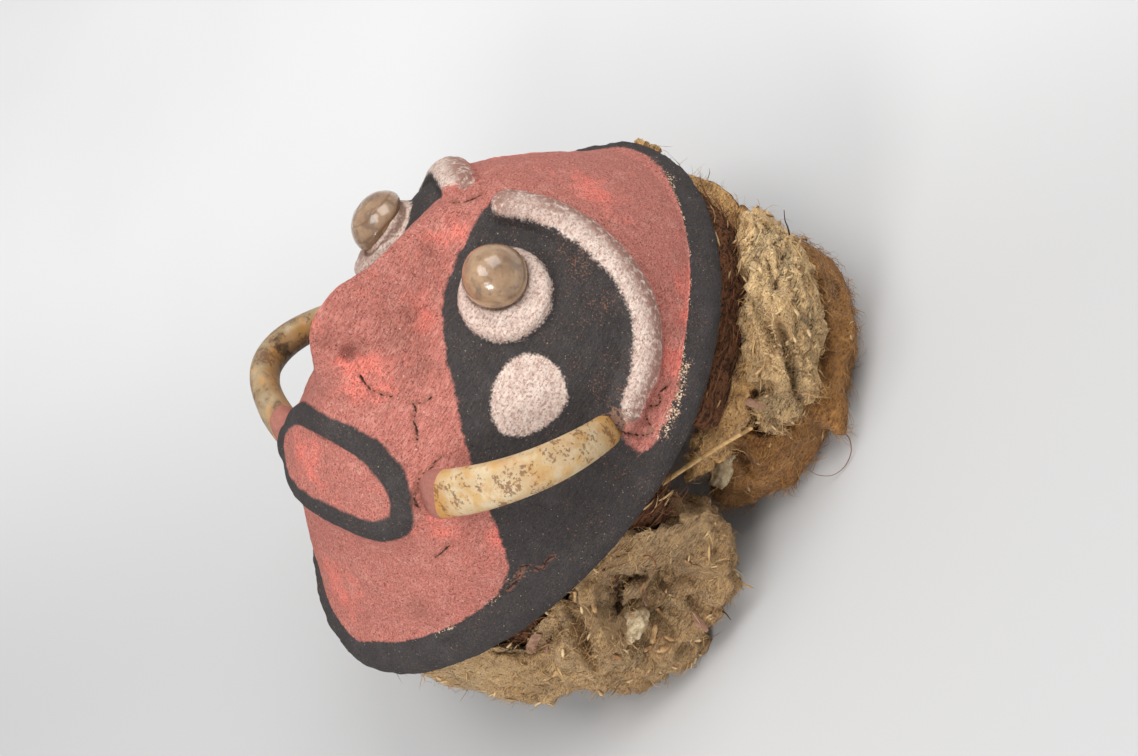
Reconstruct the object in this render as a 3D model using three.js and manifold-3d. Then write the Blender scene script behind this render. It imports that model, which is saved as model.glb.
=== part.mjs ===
// A spirit mask of painted vegetable paste, lying on its back with the face up.
// The face is a deep egg-shaped shell of paste, painted red, black and white, with two sea snail shells for
// eyes and a boar's tusk curving from each corner of the mouth to the cheek. Behind the rim a collar of
// coarse brown fibre carries wads of felted spider web: what is left of the hood.
// Millimetres. +Z is up and out of the face, +Y runs from the chin to the forehead, and +X is the mask's
// own left. The origin is in the middle of the footprint, on the surface that the mask lies on.
import * as THREE from "three";
import { mergeVertices } from "three/addons/utils/BufferGeometryUtils.js";
import Module from "manifold-3d";

const wasm = await Module();
wasm.setup();

// Outline of the face, which is widest above its middle and narrows to the chin
const RIM_WIDTH = 211;
const CROWN_LENGTH = 126; // from the widest line up to the crown
const CHIN_LENGTH = 142.5; // from the widest line down to the chin
const WIDEST_Y = 8; // of the widest line above the face's own zero line
const OVAL_POWER = 1.85; // 2 is an ellipse, and less pinches the chin and the crown
const RIM_HEIGHT = 92; // of the rim's back plane above the surface that the mask lies on
const HOOP_WIDTH = 7; // the rounded edge around the face
const HOOP_THICKNESS = 9;

// Dome of the face
const DOME_DEPTH = 89; // above the hoop's foot, without the nose
const DOME_FOOT = 4; // height of the dome's foot above the rim's back plane
const DOME_ROUNDNESS = 0.64; // 0.5 is an ellipse across the face, and 1 is a parabola
const WALL = 7;
// Its depth along the middle of the face: [height on the face, share of the depth]
const PROFILE = [
  [-127.5, 0], [-121, 0.13], [-112, 0.285], [-100, 0.44], [-88, 0.585], [-76, 0.745], [-62, 0.88],
  [-46, 0.94], [-20, 0.94], [10, 0.955], [36, 0.985], [58, 0.985], [71, 0.94], [82, 0.85], [94, 0.69],
  [104, 0.53], [114, 0.345], [122, 0.18], [127.5, 0],
];

// Nose, along the same line: [height on the face, share of the rise, share of the half width]
const NOSE_RISE = 40;
const NOSE_HALF_WIDTH = 33;
const NOSE = [
  [-54, 0, 1], [-44, 0.2, 1], [-34, 0.58, 1], [-25, 0.88, 0.98], [-15, 1, 0.94], [0, 0.93, 0.86],
  [16, 0.66, 0.76], [36, 0.38, 0.62], [54, 0.18, 0.52], [68, 0.06, 0.45], [80, 0, 0.4],
];
const HOLLOW_NOSE = 0.4; // how far the hollow follows the nose
const NOSTRIL_PLACE = [13, -24];
const NOSTRIL_RADIUS = 7;
const NOSTRIL_DEPTH = 4;

// Brows: rows of [share of the length, x, y] from the root of the nose to below the temple
const BROW = [[0, 17, 65], [0.2, 38, 74], [0.42, 60, 71], [0.62, 77, 58], [0.8, 87, 38], [1, 91, 17]];
const BROW_RISE = 6;
const BROW_HALF_WIDTH = 9.5;

// Eyes
const EYE_PLACE = [44, 34];
const MOUND_RADIUS = 20;
const MOUND_RISE = 5.5;
const SHELL_SHIFT = [-5, 4]; // of the shell's centre from the mound's
const SHELL_RADIUS = 15.5;
const SHELL_HEIGHT = 20;
const SHELL_SINK = 2; // how deep its foot is set in the mound
const SHELL_PROFILE = [
  [0, 1], [0.3, 0.965], [0.58, 0.85], [0.8, 0.67], [0.94, 0.46], [1, 0.25], [0.95, 0.08], [0.84, 0],
];

// Mouth
const MOUTH_Y = -67.5;
const MOUTH_HALF_WIDTH = 45.5;
const MOUTH_HALF_HEIGHT = 18.5;
const MOUTH_POWER = 2.7; // 2 is an ellipse, and more makes the corners squarer
const LIP_RISE = 6;
const LIP_HALF_WIDTH = 8;
const MOUTH_FLOOR = 0.62; // height inside the lips, as a share of their rise

// Boar's tusks. Each root is beside the mouth's corner and each tip is in the cheek, inside the rim's widest
// place. The middle stands off by bulge from the straight line between the two, and leans to the chin by sag
// times that.
const TUSK_ROOT_GAP = 7.5; // from the mouth's corner
const LEFT_TUSK = { side: 1, rootY: -54, tipInset: 15.5, tipY: 6, bulge: 29, sag: 0, thickness: 13 };
const RIGHT_TUSK = { side: -1, rootY: -61, tipInset: 17.5, tipY: 7, bulge: 30, sag: 0.45, thickness: 15 };
const TUSK_WIDTH = 21;
const TUSK_TIP_SHARE = 0.7; // of the root's section, left at the tip
const TUSK_BURIED = 3; // length of each end that is set in the paste

// Fibre collar behind the rim
const FIT_GAP = 0.3; // clearance between pieces that touch
const COLLAR_INSET = 8; // from the rim's edge
const COLLAR_WIDTH = 13;
const COLLAR_DEPTH = 26;
const COLLAR_CHIN_DEPTH = 9; // where it thins under the chin
const COLLAR_GAP = [-7, 12]; // degrees, of the break in it at the mask's left

// Cane strip, from under the rim's left edge to the upper felt. Its ends are [inset from the rim's widest
// place, y, z].
const CANE_FROM = [14.5, -1, 79];
const CANE_TO = [-1.5, 40, 63];
const CANE_WIDTH = 3;
const CANE_THICKNESS = 1.6;

// Felt: rows of [share of the length, inset from the rim's widest place, y, z, half width, half height]
const TAN_PAD = [
  [0, 55.5, 126, 66, 3, 4], [0.15, 44.5, 119, 62, 12, 14], [0.4, 25.5, 99, 55, 16, 19],
  [0.7, 15.5, 71, 46, 15, 18], [0.9, 16.5, 52, 38, 11, 12], [1, 20.5, 43, 34, 3, 4],
];
const FOLDED_FELT = [
  [0, 69.5, 129, 34, 4, 5], [0.15, 55.5, 123, 28, 14, 20], [0.4, 33.5, 97, 22, 20, 24],
  [0.65, 25.5, 65, 20, 19, 23], [0.85, 28.5, 30, 20, 17, 21], [1, 33.5, 9, 20, 5, 6],
];
const FELT_POINT = [[0, 17.5, 77, 18, 13, 14], [0.5, 7.5, 69, 15, 9, 9], [1, -4.5, 61, 9, 1.5, 1.5]];
const LOWER_FELT = [
  [0, 34.5, 1, 30, 4, 5], [0.14, 27.5, -8, 34, 18, 27], [0.4, 25.5, -34, 35.5, 22.5, 38],
  [0.66, 33.5, -62, 35.5, 23.4, 38], [0.88, 47.5, -84, 39, 17, 28], [1, 55.5, -94, 41, 4, 5],
];
const CHIN_LOBE = [
  [0, 33.5, -75, 45, 5, 5], [0.3, 53.5, -90, 47, 16, 25.2], [0.7, 75.5, -101, 55, 15, 21.8],
  [1, 97.5, -106, 63, 3, 3.4],
];
const RIGHT_UPPER_FELT = [
  [0, 59.5, 122, 36, 4, 5], [0.15, 45.5, 112, 34, 16, 30], [0.45, 21.5, 82, 34, 20, 37],
  [0.8, 19.5, 40, 32, 18, 34], [1, 25.5, 18, 30, 4, 5],
];
const RIGHT_LOWER_FELT = [
  [0, 21.5, -12, 30, 4, 5], [0.15, 20.5, -24, 34, 17, 34], [0.5, 27.5, -62, 36, 21, 39],
  [0.85, 51.5, -94, 38, 17, 32], [1, 67.5, -104, 40, 4, 5],
];
const PAD_GAP = 0.5; // clearance between the upper pad and the folded felt behind it
const LUMPS = 0.07; // unevenness of the felt, as a share of its thickness

const HALF_WIDTH = RIM_WIDTH / 2;

const red = new THREE.MeshStandardMaterial({ color: 0xb4524c, roughness: 0.95, metalness: 0 });
const shellGloss = new THREE.MeshStandardMaterial({ color: 0xb6a88a, roughness: 0.25, metalness: 0 });
const ivory = new THREE.MeshStandardMaterial({ color: 0xd9bd83, roughness: 0.4, metalness: 0 });
const tanFelt = new THREE.MeshStandardMaterial({ color: 0xa5885c, roughness: 1, metalness: 0 });
const brownFelt = new THREE.MeshStandardMaterial({ color: 0x80592c, roughness: 1, metalness: 0 });
const rustFibre = new THREE.MeshStandardMaterial({ color: 0x5a3824, roughness: 1, metalness: 0 });
const cane = new THREE.MeshStandardMaterial({ color: 0xa07c4c, roughness: 0.7, metalness: 0 });

const radians = THREE.MathUtils.degToRad;
const smoothstep = THREE.MathUtils.smoothstep;

// The value at a place on a smooth line through rows of [place, value, value, ...].
function through(rows, place, column = 1) {
  const last = rows.length - 1;
  if (place <= rows[0][0]) return rows[0][column];
  if (place >= rows[last][0]) return rows[last][column];
  const i = rows.findIndex((row) => row[0] > place) - 1;
  const slope = (k) => (rows[k + 1][column] - rows[k][column]) / (rows[k + 1][0] - rows[k][0]);
  const tangent = (k) => (k === 0 ? slope(0) : k === last ? slope(last - 1) : (slope(k - 1) + slope(k)) / 2);
  const width = rows[i + 1][0] - rows[i][0];
  const t = (place - rows[i][0]) / width;
  const [a, b] = [rows[i][column], rows[i + 1][column]];
  return (
    a * (1 + 2 * t) * (1 - t) ** 2 + tangent(i) * width * t * (1 - t) ** 2 +
    b * t * t * (3 - 2 * t) + tangent(i + 1) * width * t * t * (t - 1)
  );
}

// A point of the face's outline, moved in by inset, at an angle around the widest line's middle.
function outline(angle, inset) {
  const power = 2 / OVAL_POWER;
  const [c, s] = [Math.cos(angle), Math.sin(angle)];
  const length = (s > 0 ? CROWN_LENGTH : CHIN_LENGTH) - inset;
  return [
    (HALF_WIDTH - inset) * Math.sign(c) * Math.abs(c) ** power,
    WIDEST_Y + length * Math.sign(s) * Math.abs(s) ** power,
  ];
}

function halfWidthAt(y, inset) {
  const length = (y > WIDEST_Y ? CROWN_LENGTH : CHIN_LENGTH) - inset;
  const share = Math.min(1, Math.abs(y - WIDEST_Y) / length);
  return (HALF_WIDTH - inset) * (1 - share ** OVAL_POWER) ** (1 / OVAL_POWER);
}

function noseHeight(x, y) {
  const half = NOSE_HALF_WIDTH * through(NOSE, y, 2);
  const t = Math.min(1, Math.abs(x) / half);
  const crest = (1 - t * t) ** 2 * 0.6 + (1 - t) ** 1.5 * 0.4;
  return NOSE_RISE * through(NOSE, y) * crest;
}

function domeHeight(x, y, inset, depth, noseShare) {
  const half = halfWidthAt(y, inset);
  const across = half > 0 ? Math.min(1, Math.abs(x) / half) : 1;
  return depth * through(PROFILE, y) * (1 - across * across) ** DOME_ROUNDNESS + noseShare * noseHeight(x, y);
}

// The plain face without its relief.
function onFace([x, y]) {
  return new THREE.Vector3(x, y, RIM_HEIGHT + DOME_FOOT + domeHeight(x, y, HOOP_WIDTH, DOME_DEPTH, 1));
}

function normalOnFace([x, y]) {
  const step = 0.8;
  const alongX = onFace([x + step, y]).sub(onFace([x - step, y]));
  const alongY = onFace([x, y + step]).sub(onFace([x, y - step]));
  return alongX.cross(alongY).normalize();
}

function browPoint(share) {
  return onFace([through(BROW, share, 1), through(BROW, share, 2)]);
}

const BROW_LINE = Array.from({ length: 41 }, (_, i) => browPoint(i / 40));
const EYE_CENTRE = onFace(EYE_PLACE);
const MOUTH_LINE = Array.from({ length: 49 }, (_, i) => {
  const turn = (i / 48) * Math.PI - Math.PI / 2;
  const [c, s] = [Math.cos(turn), Math.sin(turn)];
  const power = 2 / MOUTH_POWER;
  return onFace([
    MOUTH_HALF_WIDTH * Math.max(0, c) ** power,
    MOUTH_Y + MOUTH_HALF_HEIGHT * Math.sign(s) * Math.abs(s) ** power,
  ]);
});

function gapTo(line, point) {
  return Math.sqrt(Math.min(...line.map((q) => q.distanceToSquared(point))));
}

// How far the paste stands above the plain face at a point: brows, eye mounds, lips and nostrils.
function relief(point) {
  const p = new THREE.Vector3(Math.abs(point.x), point.y, point.z);
  const brow = BROW_RISE * Math.sqrt(Math.max(0, 1 - (gapTo(BROW_LINE, p) / BROW_HALF_WIDTH) ** 2));
  const mound = MOUND_RISE * (1 - smoothstep(p.distanceTo(EYE_CENTRE), MOUND_RADIUS - 3, MOUND_RADIUS + 3));
  const [across, up] = [p.x / MOUTH_HALF_WIDTH, Math.abs(p.y - MOUTH_Y) / MOUTH_HALF_HEIGHT];
  const inside = across ** MOUTH_POWER + up ** MOUTH_POWER < 1;
  const lip = Math.exp(-((gapTo(MOUTH_LINE, p) / LIP_HALF_WIDTH) ** 2));
  const lips = LIP_RISE * (inside ? MOUTH_FLOOR + (1 - MOUTH_FLOOR) * lip : lip);
  const nostril = Math.hypot(p.x - NOSTRIL_PLACE[0], p.y - NOSTRIL_PLACE[1]) / NOSTRIL_RADIUS;
  return Math.max(brow, mound) + lips - NOSTRIL_DEPTH * Math.exp(-(nostril ** 2));
}

// A closed mesh from rings of equal length, each a list of points, closed at both ends, facing out.
function loft(rings) {
  const size = rings[0].length;
  const positions = rings.flat().flatMap((p) => p.toArray());
  const index = [];
  for (let i = 0; i + 1 < rings.length; i++) {
    for (let j = 0; j < size; j++) {
      const next = (j + 1) % size;
      const [a, b, c, d] = [i * size + j, i * size + next, (i + 1) * size + j, (i + 1) * size + next];
      index.push(a, b, d, a, d, c);
    }
  }
  for (const [end, turned] of [[0, true], [rings.length - 1, false]]) {
    const middle = rings[end].reduce((sum, p) => sum.add(p), new THREE.Vector3()).divideScalar(size);
    positions.push(...middle.toArray());
    const centre = positions.length / 3 - 1;
    for (let j = 0; j < size; j++) {
      const [a, b] = [end * size + j, end * size + ((j + 1) % size)];
      index.push(...(turned ? [centre, b, a] : [centre, a, b]));
    }
  }
  const at = (k) => new THREE.Vector3().fromArray(positions, 3 * index[k]);
  let volume = 0;
  for (let i = 0; i < index.length; i += 3) volume += at(i).dot(at(i + 1).cross(at(i + 2)));
  if (volume < 0) index.reverse();
  const geometry = new THREE.BufferGeometry();
  geometry.setAttribute("position", new THREE.Float32BufferAttribute(positions, 3));
  geometry.setIndex(index);
  return geometry;
}

function solidOf(geometry) {
  const merged = mergeVertices(geometry, 1e-4);
  const triVerts = new Uint32Array(merged.index.array);
  const vertProperties = new Float32Array(merged.attributes.position.array);
  return new wasm.Manifold(new wasm.Mesh({ numProp: 3, vertProperties, triVerts }));
}

function geometryOf(solid) {
  const mesh = solid.getMesh();
  const geometry = new THREE.BufferGeometry();
  geometry.setAttribute("position", new THREE.BufferAttribute(mesh.vertProperties, 3));
  geometry.setIndex(new THREE.BufferAttribute(mesh.triVerts, 1));
  return geometry;
}

// Face: rings from its middle out over the dome and the hoop, and back in along the hollow.
function faceSolid() {
  const around = 70;
  const outer = 21;
  const inner = 7;
  const ring = (make) => Array.from({ length: around }, (_, i) => make((i * 2 * Math.PI) / around));
  const reachAt = (share) => Math.sin((share * Math.PI) / 2);
  const middleY = -4; // where the rings shrink to a point
  const spread = (angle, inset, share) => {
    const [x, y] = outline(angle, inset);
    return [x * share, middleY + (y - middleY) * share];
  };
  const rings = [];
  for (let i = 1; i <= outer; i++) {
    const share = i === 1 ? 0.03 : reachAt((i - 0.6) / (outer - 0.6));
    rings.push(ring((angle) => {
      const place = spread(angle, HOOP_WIDTH, share);
      const base = onFace(place);
      const fade = 1 - smoothstep(share, 0.97, 1);
      return base.clone().addScaledVector(normalOnFace(place.map((v) => v * 0.999)), relief(base) * fade);
    }));
  }
  // The hoop's rounded section: [share of its width out from the dome's foot, share of its thickness].
  const roll = [[0.3, 0.86], [0.62, 1], [0.88, 0.8], [1, 0.45], [0.9, 0.1], [0.7, 0]];
  for (const [out, up] of roll) {
    rings.push(ring((angle) => {
      const [x, y] = outline(angle, HOOP_WIDTH * (1 - out));
      return new THREE.Vector3(x, y, RIM_HEIGHT + up * HOOP_THICKNESS);
    }));
  }
  const inset = HOOP_WIDTH + WALL;
  for (let i = inner; i >= 0; i--) {
    const share = reachAt(Math.max(i, 0.25) / inner);
    rings.push(ring((angle) => {
      const [x, y] = spread(angle, inset, share);
      const height = domeHeight(x, y, inset, DOME_DEPTH + DOME_FOOT - WALL, HOLLOW_NOSE);
      return new THREE.Vector3(x, y, RIM_HEIGHT + height);
    }));
  }
  return solidOf(loft(rings));
}

// A sea snail shell on its mound, with its foot sunk in. grow is a clearance added all over.
function eyeSolid(side, grow) {
  const around = 18;
  const centre = [EYE_PLACE[0] + SHELL_SHIFT[0], EYE_PLACE[1] + SHELL_SHIFT[1]];
  const axis = normalOnFace(centre);
  const foot = onFace(centre).addScaledVector(axis, MOUND_RISE - SHELL_SINK - grow);
  const turn = new THREE.Quaternion().setFromUnitVectors(new THREE.Vector3(0, 0, 1), axis);
  const rings = SHELL_PROFILE.slice(1).map(([out, up]) =>
    Array.from({ length: around }, (_, i) => {
      const angle = (i * 2 * Math.PI) / around;
      const radius = (SHELL_RADIUS + grow) * out;
      const local = new THREE.Vector3(
        radius * Math.cos(angle), radius * Math.sin(angle), (SHELL_HEIGHT + 2 * grow) * up,
      );
      const p = local.applyQuaternion(turn).add(foot);
      return p.setX(side * p.x);
    }),
  );
  return solidOf(loft(rings));
}

// A tusk: an oval section swept along an arc from the mouth's corner to the cheek, narrowing to the tip.
function tuskSolid({ side, rootY, tipInset, tipY, bulge, sag, thickness }, grow) {
  const around = 14;
  const steps = 14;
  const root = [MOUTH_HALF_WIDTH + TUSK_ROOT_GAP, rootY];
  const tip = [HALF_WIDTH - tipInset, tipY];
  const start = onFace(root);
  const chord = onFace(tip).sub(start);
  const away = normalOnFace(root).add(normalOnFace(tip)).normalize().add(new THREE.Vector3(0, -sag, 0));
  away.addScaledVector(chord, -away.dot(chord) / chord.lengthSq()).normalize();
  const rings = [];
  for (let i = 0; i <= steps; i++) {
    const tangentAt = (s) => chord.clone().addScaledVector(away, 4 * bulge * (1 - 2 * s)).normalize();
    const share = i / steps;
    const tangent = tangentAt(share);
    const centre = start.clone().addScaledVector(chord, share);
    centre.addScaledVector(away, 4 * bulge * share * (1 - share));
    if (i === 0) centre.addScaledVector(tangent, -TUSK_BURIED - grow);
    if (i === steps) centre.addScaledVector(tangent, TUSK_BURIED + grow);
    const outward = away.clone().addScaledVector(tangent, -away.dot(tangent)).normalize();
    const sideways = tangent.clone().cross(outward);
    const size = 1 + (TUSK_TIP_SHARE - 1) * share ** 1.4;
    rings.push(Array.from({ length: around }, (_, j) => {
      const angle = (j * 2 * Math.PI) / around;
      const p = centre.clone();
      p.addScaledVector(sideways, ((TUSK_WIDTH / 2) * size + grow) * Math.cos(angle));
      p.addScaledVector(outward, ((thickness / 2) * size + grow) * Math.sin(angle));
      return p.setX(side * p.x);
    }));
  }
  return solidOf(loft(rings));
}

// The collar: a C-shaped band that follows the outline, with its break at the mask's left.
function collarSolid(grow) {
  const steps = 38;
  const [from, to] = [radians(COLLAR_GAP[1]), radians(360 + COLLAR_GAP[0])];
  const [outer, inner] = [COLLAR_INSET - grow, COLLAR_INSET + COLLAR_WIDTH + grow];
  const top = RIM_HEIGHT - FIT_GAP + grow;
  const rings = [];
  for (let i = 0; i <= steps; i++) {
    const angle = from + ((to - from) * i) / steps;
    const chin = 1 - smoothstep(Math.sin(angle), -0.97, -0.7);
    const depth = COLLAR_DEPTH + (COLLAR_CHIN_DEPTH - COLLAR_DEPTH) * chin;
    const bottom = top - depth - 2 * grow;
    const corner = (inset, z) => new THREE.Vector3(...outline(angle, inset + 2 * chin), z);
    rings.push([
      corner(outer + 2, top), corner(outer, top - 3), corner(outer, bottom + 3),
      corner((outer + inner) / 2, bottom), corner(inner, bottom + 3), corner(inner - 2, top),
    ]);
  }
  return solidOf(loft(rings));
}

// A wad of felt: an uneven oval section along a smooth line through its rows, on the mask's left or right.
function wadSolid(side, rows, phase, grow = 0) {
  const around = 12;
  const steps = 11;
  const at = (share) => {
    const [inset, y, z] = [1, 2, 3].map((column) => through(rows, share, column));
    return new THREE.Vector3(side * (HALF_WIDTH - inset), y, z);
  };
  const rings = [];
  for (let i = 0; i <= steps; i++) {
    const share = (1 - Math.cos((i / steps) * Math.PI)) / 2;
    const tangent = at(Math.min(1, share + 0.02)).sub(at(Math.max(0, share - 0.02))).normalize();
    const across = new THREE.Vector3(tangent.y, -tangent.x, 0).normalize();
    const upward = across.clone().cross(tangent).negate();
    rings.push(Array.from({ length: around }, (_, j) => {
      const angle = (j * 2 * Math.PI) / around;
      const waves = Math.sin(3 * angle + 6 * share + phase) + Math.sin(5 * angle - 9 * share + phase);
      const uneven = 1 + LUMPS * waves;
      const p = at(share);
      p.addScaledVector(across, (through(rows, share, 4) + grow) * uneven * Math.cos(angle));
      return p.addScaledVector(upward, (through(rows, share, 5) + grow) * uneven * Math.sin(angle));
    }));
  }
  return solidOf(loft(rings));
}

// A box whose corners hold only their position, so that they can be merged.
function bareBox(size) {
  const box = new THREE.BoxGeometry(...size);
  box.deleteAttribute("normal");
  box.deleteAttribute("uv");
  return box;
}

function caneSolid(grow) {
  const [from, to] = [CANE_FROM, CANE_TO].map(([inset, y, z]) => new THREE.Vector3(HALF_WIDTH - inset, y, z));
  const along = to.clone().sub(from);
  const size = [along.length() + 2 * grow, CANE_WIDTH + 2 * grow, CANE_THICKNESS + 2 * grow];
  const turn = new THREE.Quaternion().setFromUnitVectors(new THREE.Vector3(1, 0, 0), along.normalize());
  const middle = from.add(to).divideScalar(2);
  return solidOf(bareBox(size).applyQuaternion(turn).translate(...middle.toArray()));
}

const mask = new THREE.Group();

function place(name, solid, material) {
  const mesh = new THREE.Mesh(geometryOf(solid), material);
  mesh.name = name;
  mask.add(mesh);
}

const sockets = [
  eyeSolid(1, FIT_GAP), eyeSolid(-1, FIT_GAP), tuskSolid(LEFT_TUSK, FIT_GAP), tuskSolid(RIGHT_TUSK, FIT_GAP),
];
const face = sockets.reduce((solid, socket) => solid.subtract(socket), faceSolid());
place("face", face, red);
place("left_eye_shell", eyeSolid(1, 0), shellGloss);
place("right_eye_shell", eyeSolid(-1, 0), shellGloss);
place("left_tusk", tuskSolid(LEFT_TUSK, 0), ivory);
place("right_tusk", tuskSolid(RIGHT_TUSK, 0), ivory);
place("fibre_collar", collarSolid(0), rustFibre);
place("cane_strip", caneSolid(0), cane);

// Each wad is cut flat where it rests on the floor, and kept clear of the collar, the cane and the rim.
const room = RIM_HEIGHT - FIT_GAP;
const spread = 3 * (CROWN_LENGTH + CHIN_LENGTH + RIM_WIDTH);
const underRim = solidOf(bareBox([spread, spread, room]).translate(0, 0, room / 2));
const clear = [collarSolid(FIT_GAP), caneSolid(FIT_GAP)];
function laid(solid, others = []) {
  return [...clear, ...others].reduce((rest, other) => rest.subtract(other), solid.intersect(underRim));
}
const folded = wadSolid(1, FOLDED_FELT, 2).add(wadSolid(1, FELT_POINT, 1));
place("upper_felt_pad", laid(wadSolid(1, TAN_PAD, 0)), tanFelt);
place("folded_felt", laid(folded, [wadSolid(1, TAN_PAD, 0, PAD_GAP)]), brownFelt);
place("lower_felt", laid(wadSolid(1, LOWER_FELT, 4).add(wadSolid(1, CHIN_LOBE, 5))), tanFelt);
place("right_upper_felt", laid(wadSolid(-1, RIGHT_UPPER_FELT, 1)), brownFelt);
place("right_lower_felt", laid(wadSolid(-1, RIGHT_LOWER_FELT, 3)), tanFelt);

// The origin goes under the middle of the whole, on the floor.
const middle = new THREE.Box3().setFromObject(mask).getCenter(new THREE.Vector3());
mask.position.set(-middle.x, -middle.y, 0);

export default mask;
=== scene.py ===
import math

import bmesh
import bpy
import numpy as np
from mathutils import Matrix, Vector, noise
from mathutils.bvhtree import BVHTree


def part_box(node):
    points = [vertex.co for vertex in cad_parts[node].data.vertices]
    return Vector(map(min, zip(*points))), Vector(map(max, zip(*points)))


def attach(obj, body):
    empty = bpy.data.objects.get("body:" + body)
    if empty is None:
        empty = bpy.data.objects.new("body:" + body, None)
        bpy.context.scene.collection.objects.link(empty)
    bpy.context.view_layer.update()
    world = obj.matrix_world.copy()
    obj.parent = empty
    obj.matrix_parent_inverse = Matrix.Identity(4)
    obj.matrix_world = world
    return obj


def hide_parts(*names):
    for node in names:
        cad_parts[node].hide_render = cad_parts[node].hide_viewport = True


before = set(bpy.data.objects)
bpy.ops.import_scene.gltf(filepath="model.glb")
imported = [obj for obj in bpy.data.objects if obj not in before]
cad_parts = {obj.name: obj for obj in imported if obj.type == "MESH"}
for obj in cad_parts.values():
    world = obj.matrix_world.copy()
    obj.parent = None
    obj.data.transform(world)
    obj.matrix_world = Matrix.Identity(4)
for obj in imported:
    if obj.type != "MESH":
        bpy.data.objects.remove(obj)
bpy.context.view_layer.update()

bl_info = {
    "name": "Spirit mask with tusks and felt",
    "version": (1, 0, 0),
    "blender": (4, 5, 0),
    "location": "3D View > Sidebar > Spirit mask",
    "description": "Builds a painted paste mask with shell eyes, boar tusks and the felt left of its hood",
    "category": "Object",
}

BODY = "root"

# Outline and dome of the face, in millimetres, as in the solids
RIM_WIDTH = 211
CROWN_LENGTH = 126
CHIN_LENGTH = 142.5
WIDEST_Y = 8
OVAL_POWER = 1.85
RIM_HEIGHT = 92
HOOP_WIDTH = 7
HOOP_THICKNESS = 9
RIM_FILL = 0.9
HOOP_ROLL = [(0, 1.52), (0.2, 1.36), (0.5, 1.18), (0.8, 0.96), (0.97, 0.7), (1.02, 0.4), (0.92, 0.08),
    (0.7, 0)]
DOME_DEPTH = 89
DOME_FOOT = 4
DOME_ROUNDNESS = 0.64
WALL = 7
HOLLOW_NOSE = 0.4
PROFILE = [
    (-127.5, 0), (-121, 0.13), (-112, 0.285), (-100, 0.44), (-88, 0.585), (-76, 0.745), (-62, 0.88),
    (-46, 0.94), (-20, 0.94), (10, 0.955), (36, 0.985), (58, 0.985), (71, 0.94), (82, 0.85), (94, 0.69),
    (104, 0.53), (114, 0.345), (122, 0.18), (127.5, 0),
]

# Nose, brows, eyes and mouth
NOSE_RISE = 40
NOSE_HALF_WIDTH = 33
NOSE = [
    (-54, 0, 1), (-44, 0.2, 1), (-34, 0.58, 1), (-25, 0.88, 0.98), (-15, 1, 0.94), (0, 0.93, 0.86),
    (16, 0.66, 0.76), (36, 0.38, 0.62), (54, 0.18, 0.52), (68, 0.06, 0.45), (80, 0, 0.4),
]
NOSTRIL_PLACE = (12, -20.5)
NOSTRIL_RADIUS = 7
NOSTRIL_DEPTH = 4
LEFT_BROW = [(0, 24, 69), (0.2, 41, 74), (0.42, 60, 71), (0.62, 77, 58), (0.8, 87, 38), (1, 91, 17)]
RIGHT_BROW = [(0, 6, 69), (0.2, 32, 75), (0.42, 59, 71), (0.62, 77, 58), (0.8, 87, 38), (1, 91, 17)]
BROW_RISE = 6
BROW_HALF_WIDTH = 9
EYE_PLACE = (44, 34)
MOUND_RADIUS = 20
MOUND_RISE = 5.5
SHELL_SHIFT = (-5, 4)
SHELL_RADIUS = 15.5
SHELL_HEIGHT = 20
SHELL_SINK = 2
SHELL_FOOT = 13.2
SHELL_PROFILE = [
    (0, 1), (0.3, 0.965), (0.58, 0.85), (0.8, 0.67), (0.94, 0.46), (1, 0.25), (0.95, 0.08), (0.84, 0),
]
MOUTH_Y = -64.5
MOUTH_HALF_WIDTH = 42.5
MOUTH_HALF_HEIGHT = 15.8
MOUTH_POWER = 2.4
LIP_RISE = 6
LIP_HALF_WIDTH = 8
MOUTH_FLOOR = 0.62

# Tusks
TUSK_WIDTH = 21
TUSK_TIP_SHARE = 0.7
TUSK_BURIED = 3
LAP_REACH = 0.05
LAP_SLANT = -0.035
TUSKS = {
    "left_tusk": dict(side=1, root=(53, -54), tip=(90, 6), bulge=29, sag=0, thickness=13, age=0.25),
    "right_tusk": dict(side=-1, root=(53, -61), tip=(88, 7), bulge=30, sag=0.45, thickness=15, age=0.85),
}

# Collar and cane
COLLAR_INSET = 8
COLLAR_WIDTH = 13
COLLAR_DEPTH = 26
COLLAR_CHIN_DEPTH = 9
COLLAR_GAP = (-7, 12)
COLLAR_BULGE = 9
COLLAR_BULGE_AT = math.radians(58)
COLLAR_BULGE_REACH = 0.42
FIT_GAP = 0.3
CANE_FROM = (91, -1, 79)
CANE_TO = (107, 40, 63)
CANE_WIDTH = 3
CANE_THICKNESS = 1.6

# Paint, as points of (x, y) on the left half of the face, which the right half mirrors
RED_LEFT = [
    (0, 129), (14, 127), (36, 117), (62, 96), (79, 73), (92, 47), (98, 30), (101, 14), (98, 4), (92, 6),
    (90, 20), (88, 38), (80, 56), (65, 68), (45, 73), (24, 68), (15, 66), (17, 56), (19, 25), (29, 4),
    (44, -12),
    (56, -30), (70, -48), (76, -67), (58, -94), (34, -115), (5, -126), (0, -126.5),
]
RED_RIGHT = [
    (0, -126.5), (-5, -126), (-34, -115), (-58, -94), (-76, -67), (-66, -48), (-48, -30), (-32, -12),
    (-17, 4),
    (-10, 25), (-9, 54), (-7, 64), (-24, 68), (-45, 73), (-65, 68), (-80, 56), (-88, 38), (-90, 20), (-92, 6),
    (-98, 4), (-101, 14), (-98, 30), (-92, 47), (-79, 73), (-62, 96), (-36, 117), (-14, 127),
]
CHEEK_SPOT = [(55, 0), (57, 12), (64, 20), (74, 17), (79, 7), (76, -8), (67, -20), (59, -14)]
DISCS = [(44, 34, 20.6), (-41, 33.5, 21.5)]
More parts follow.
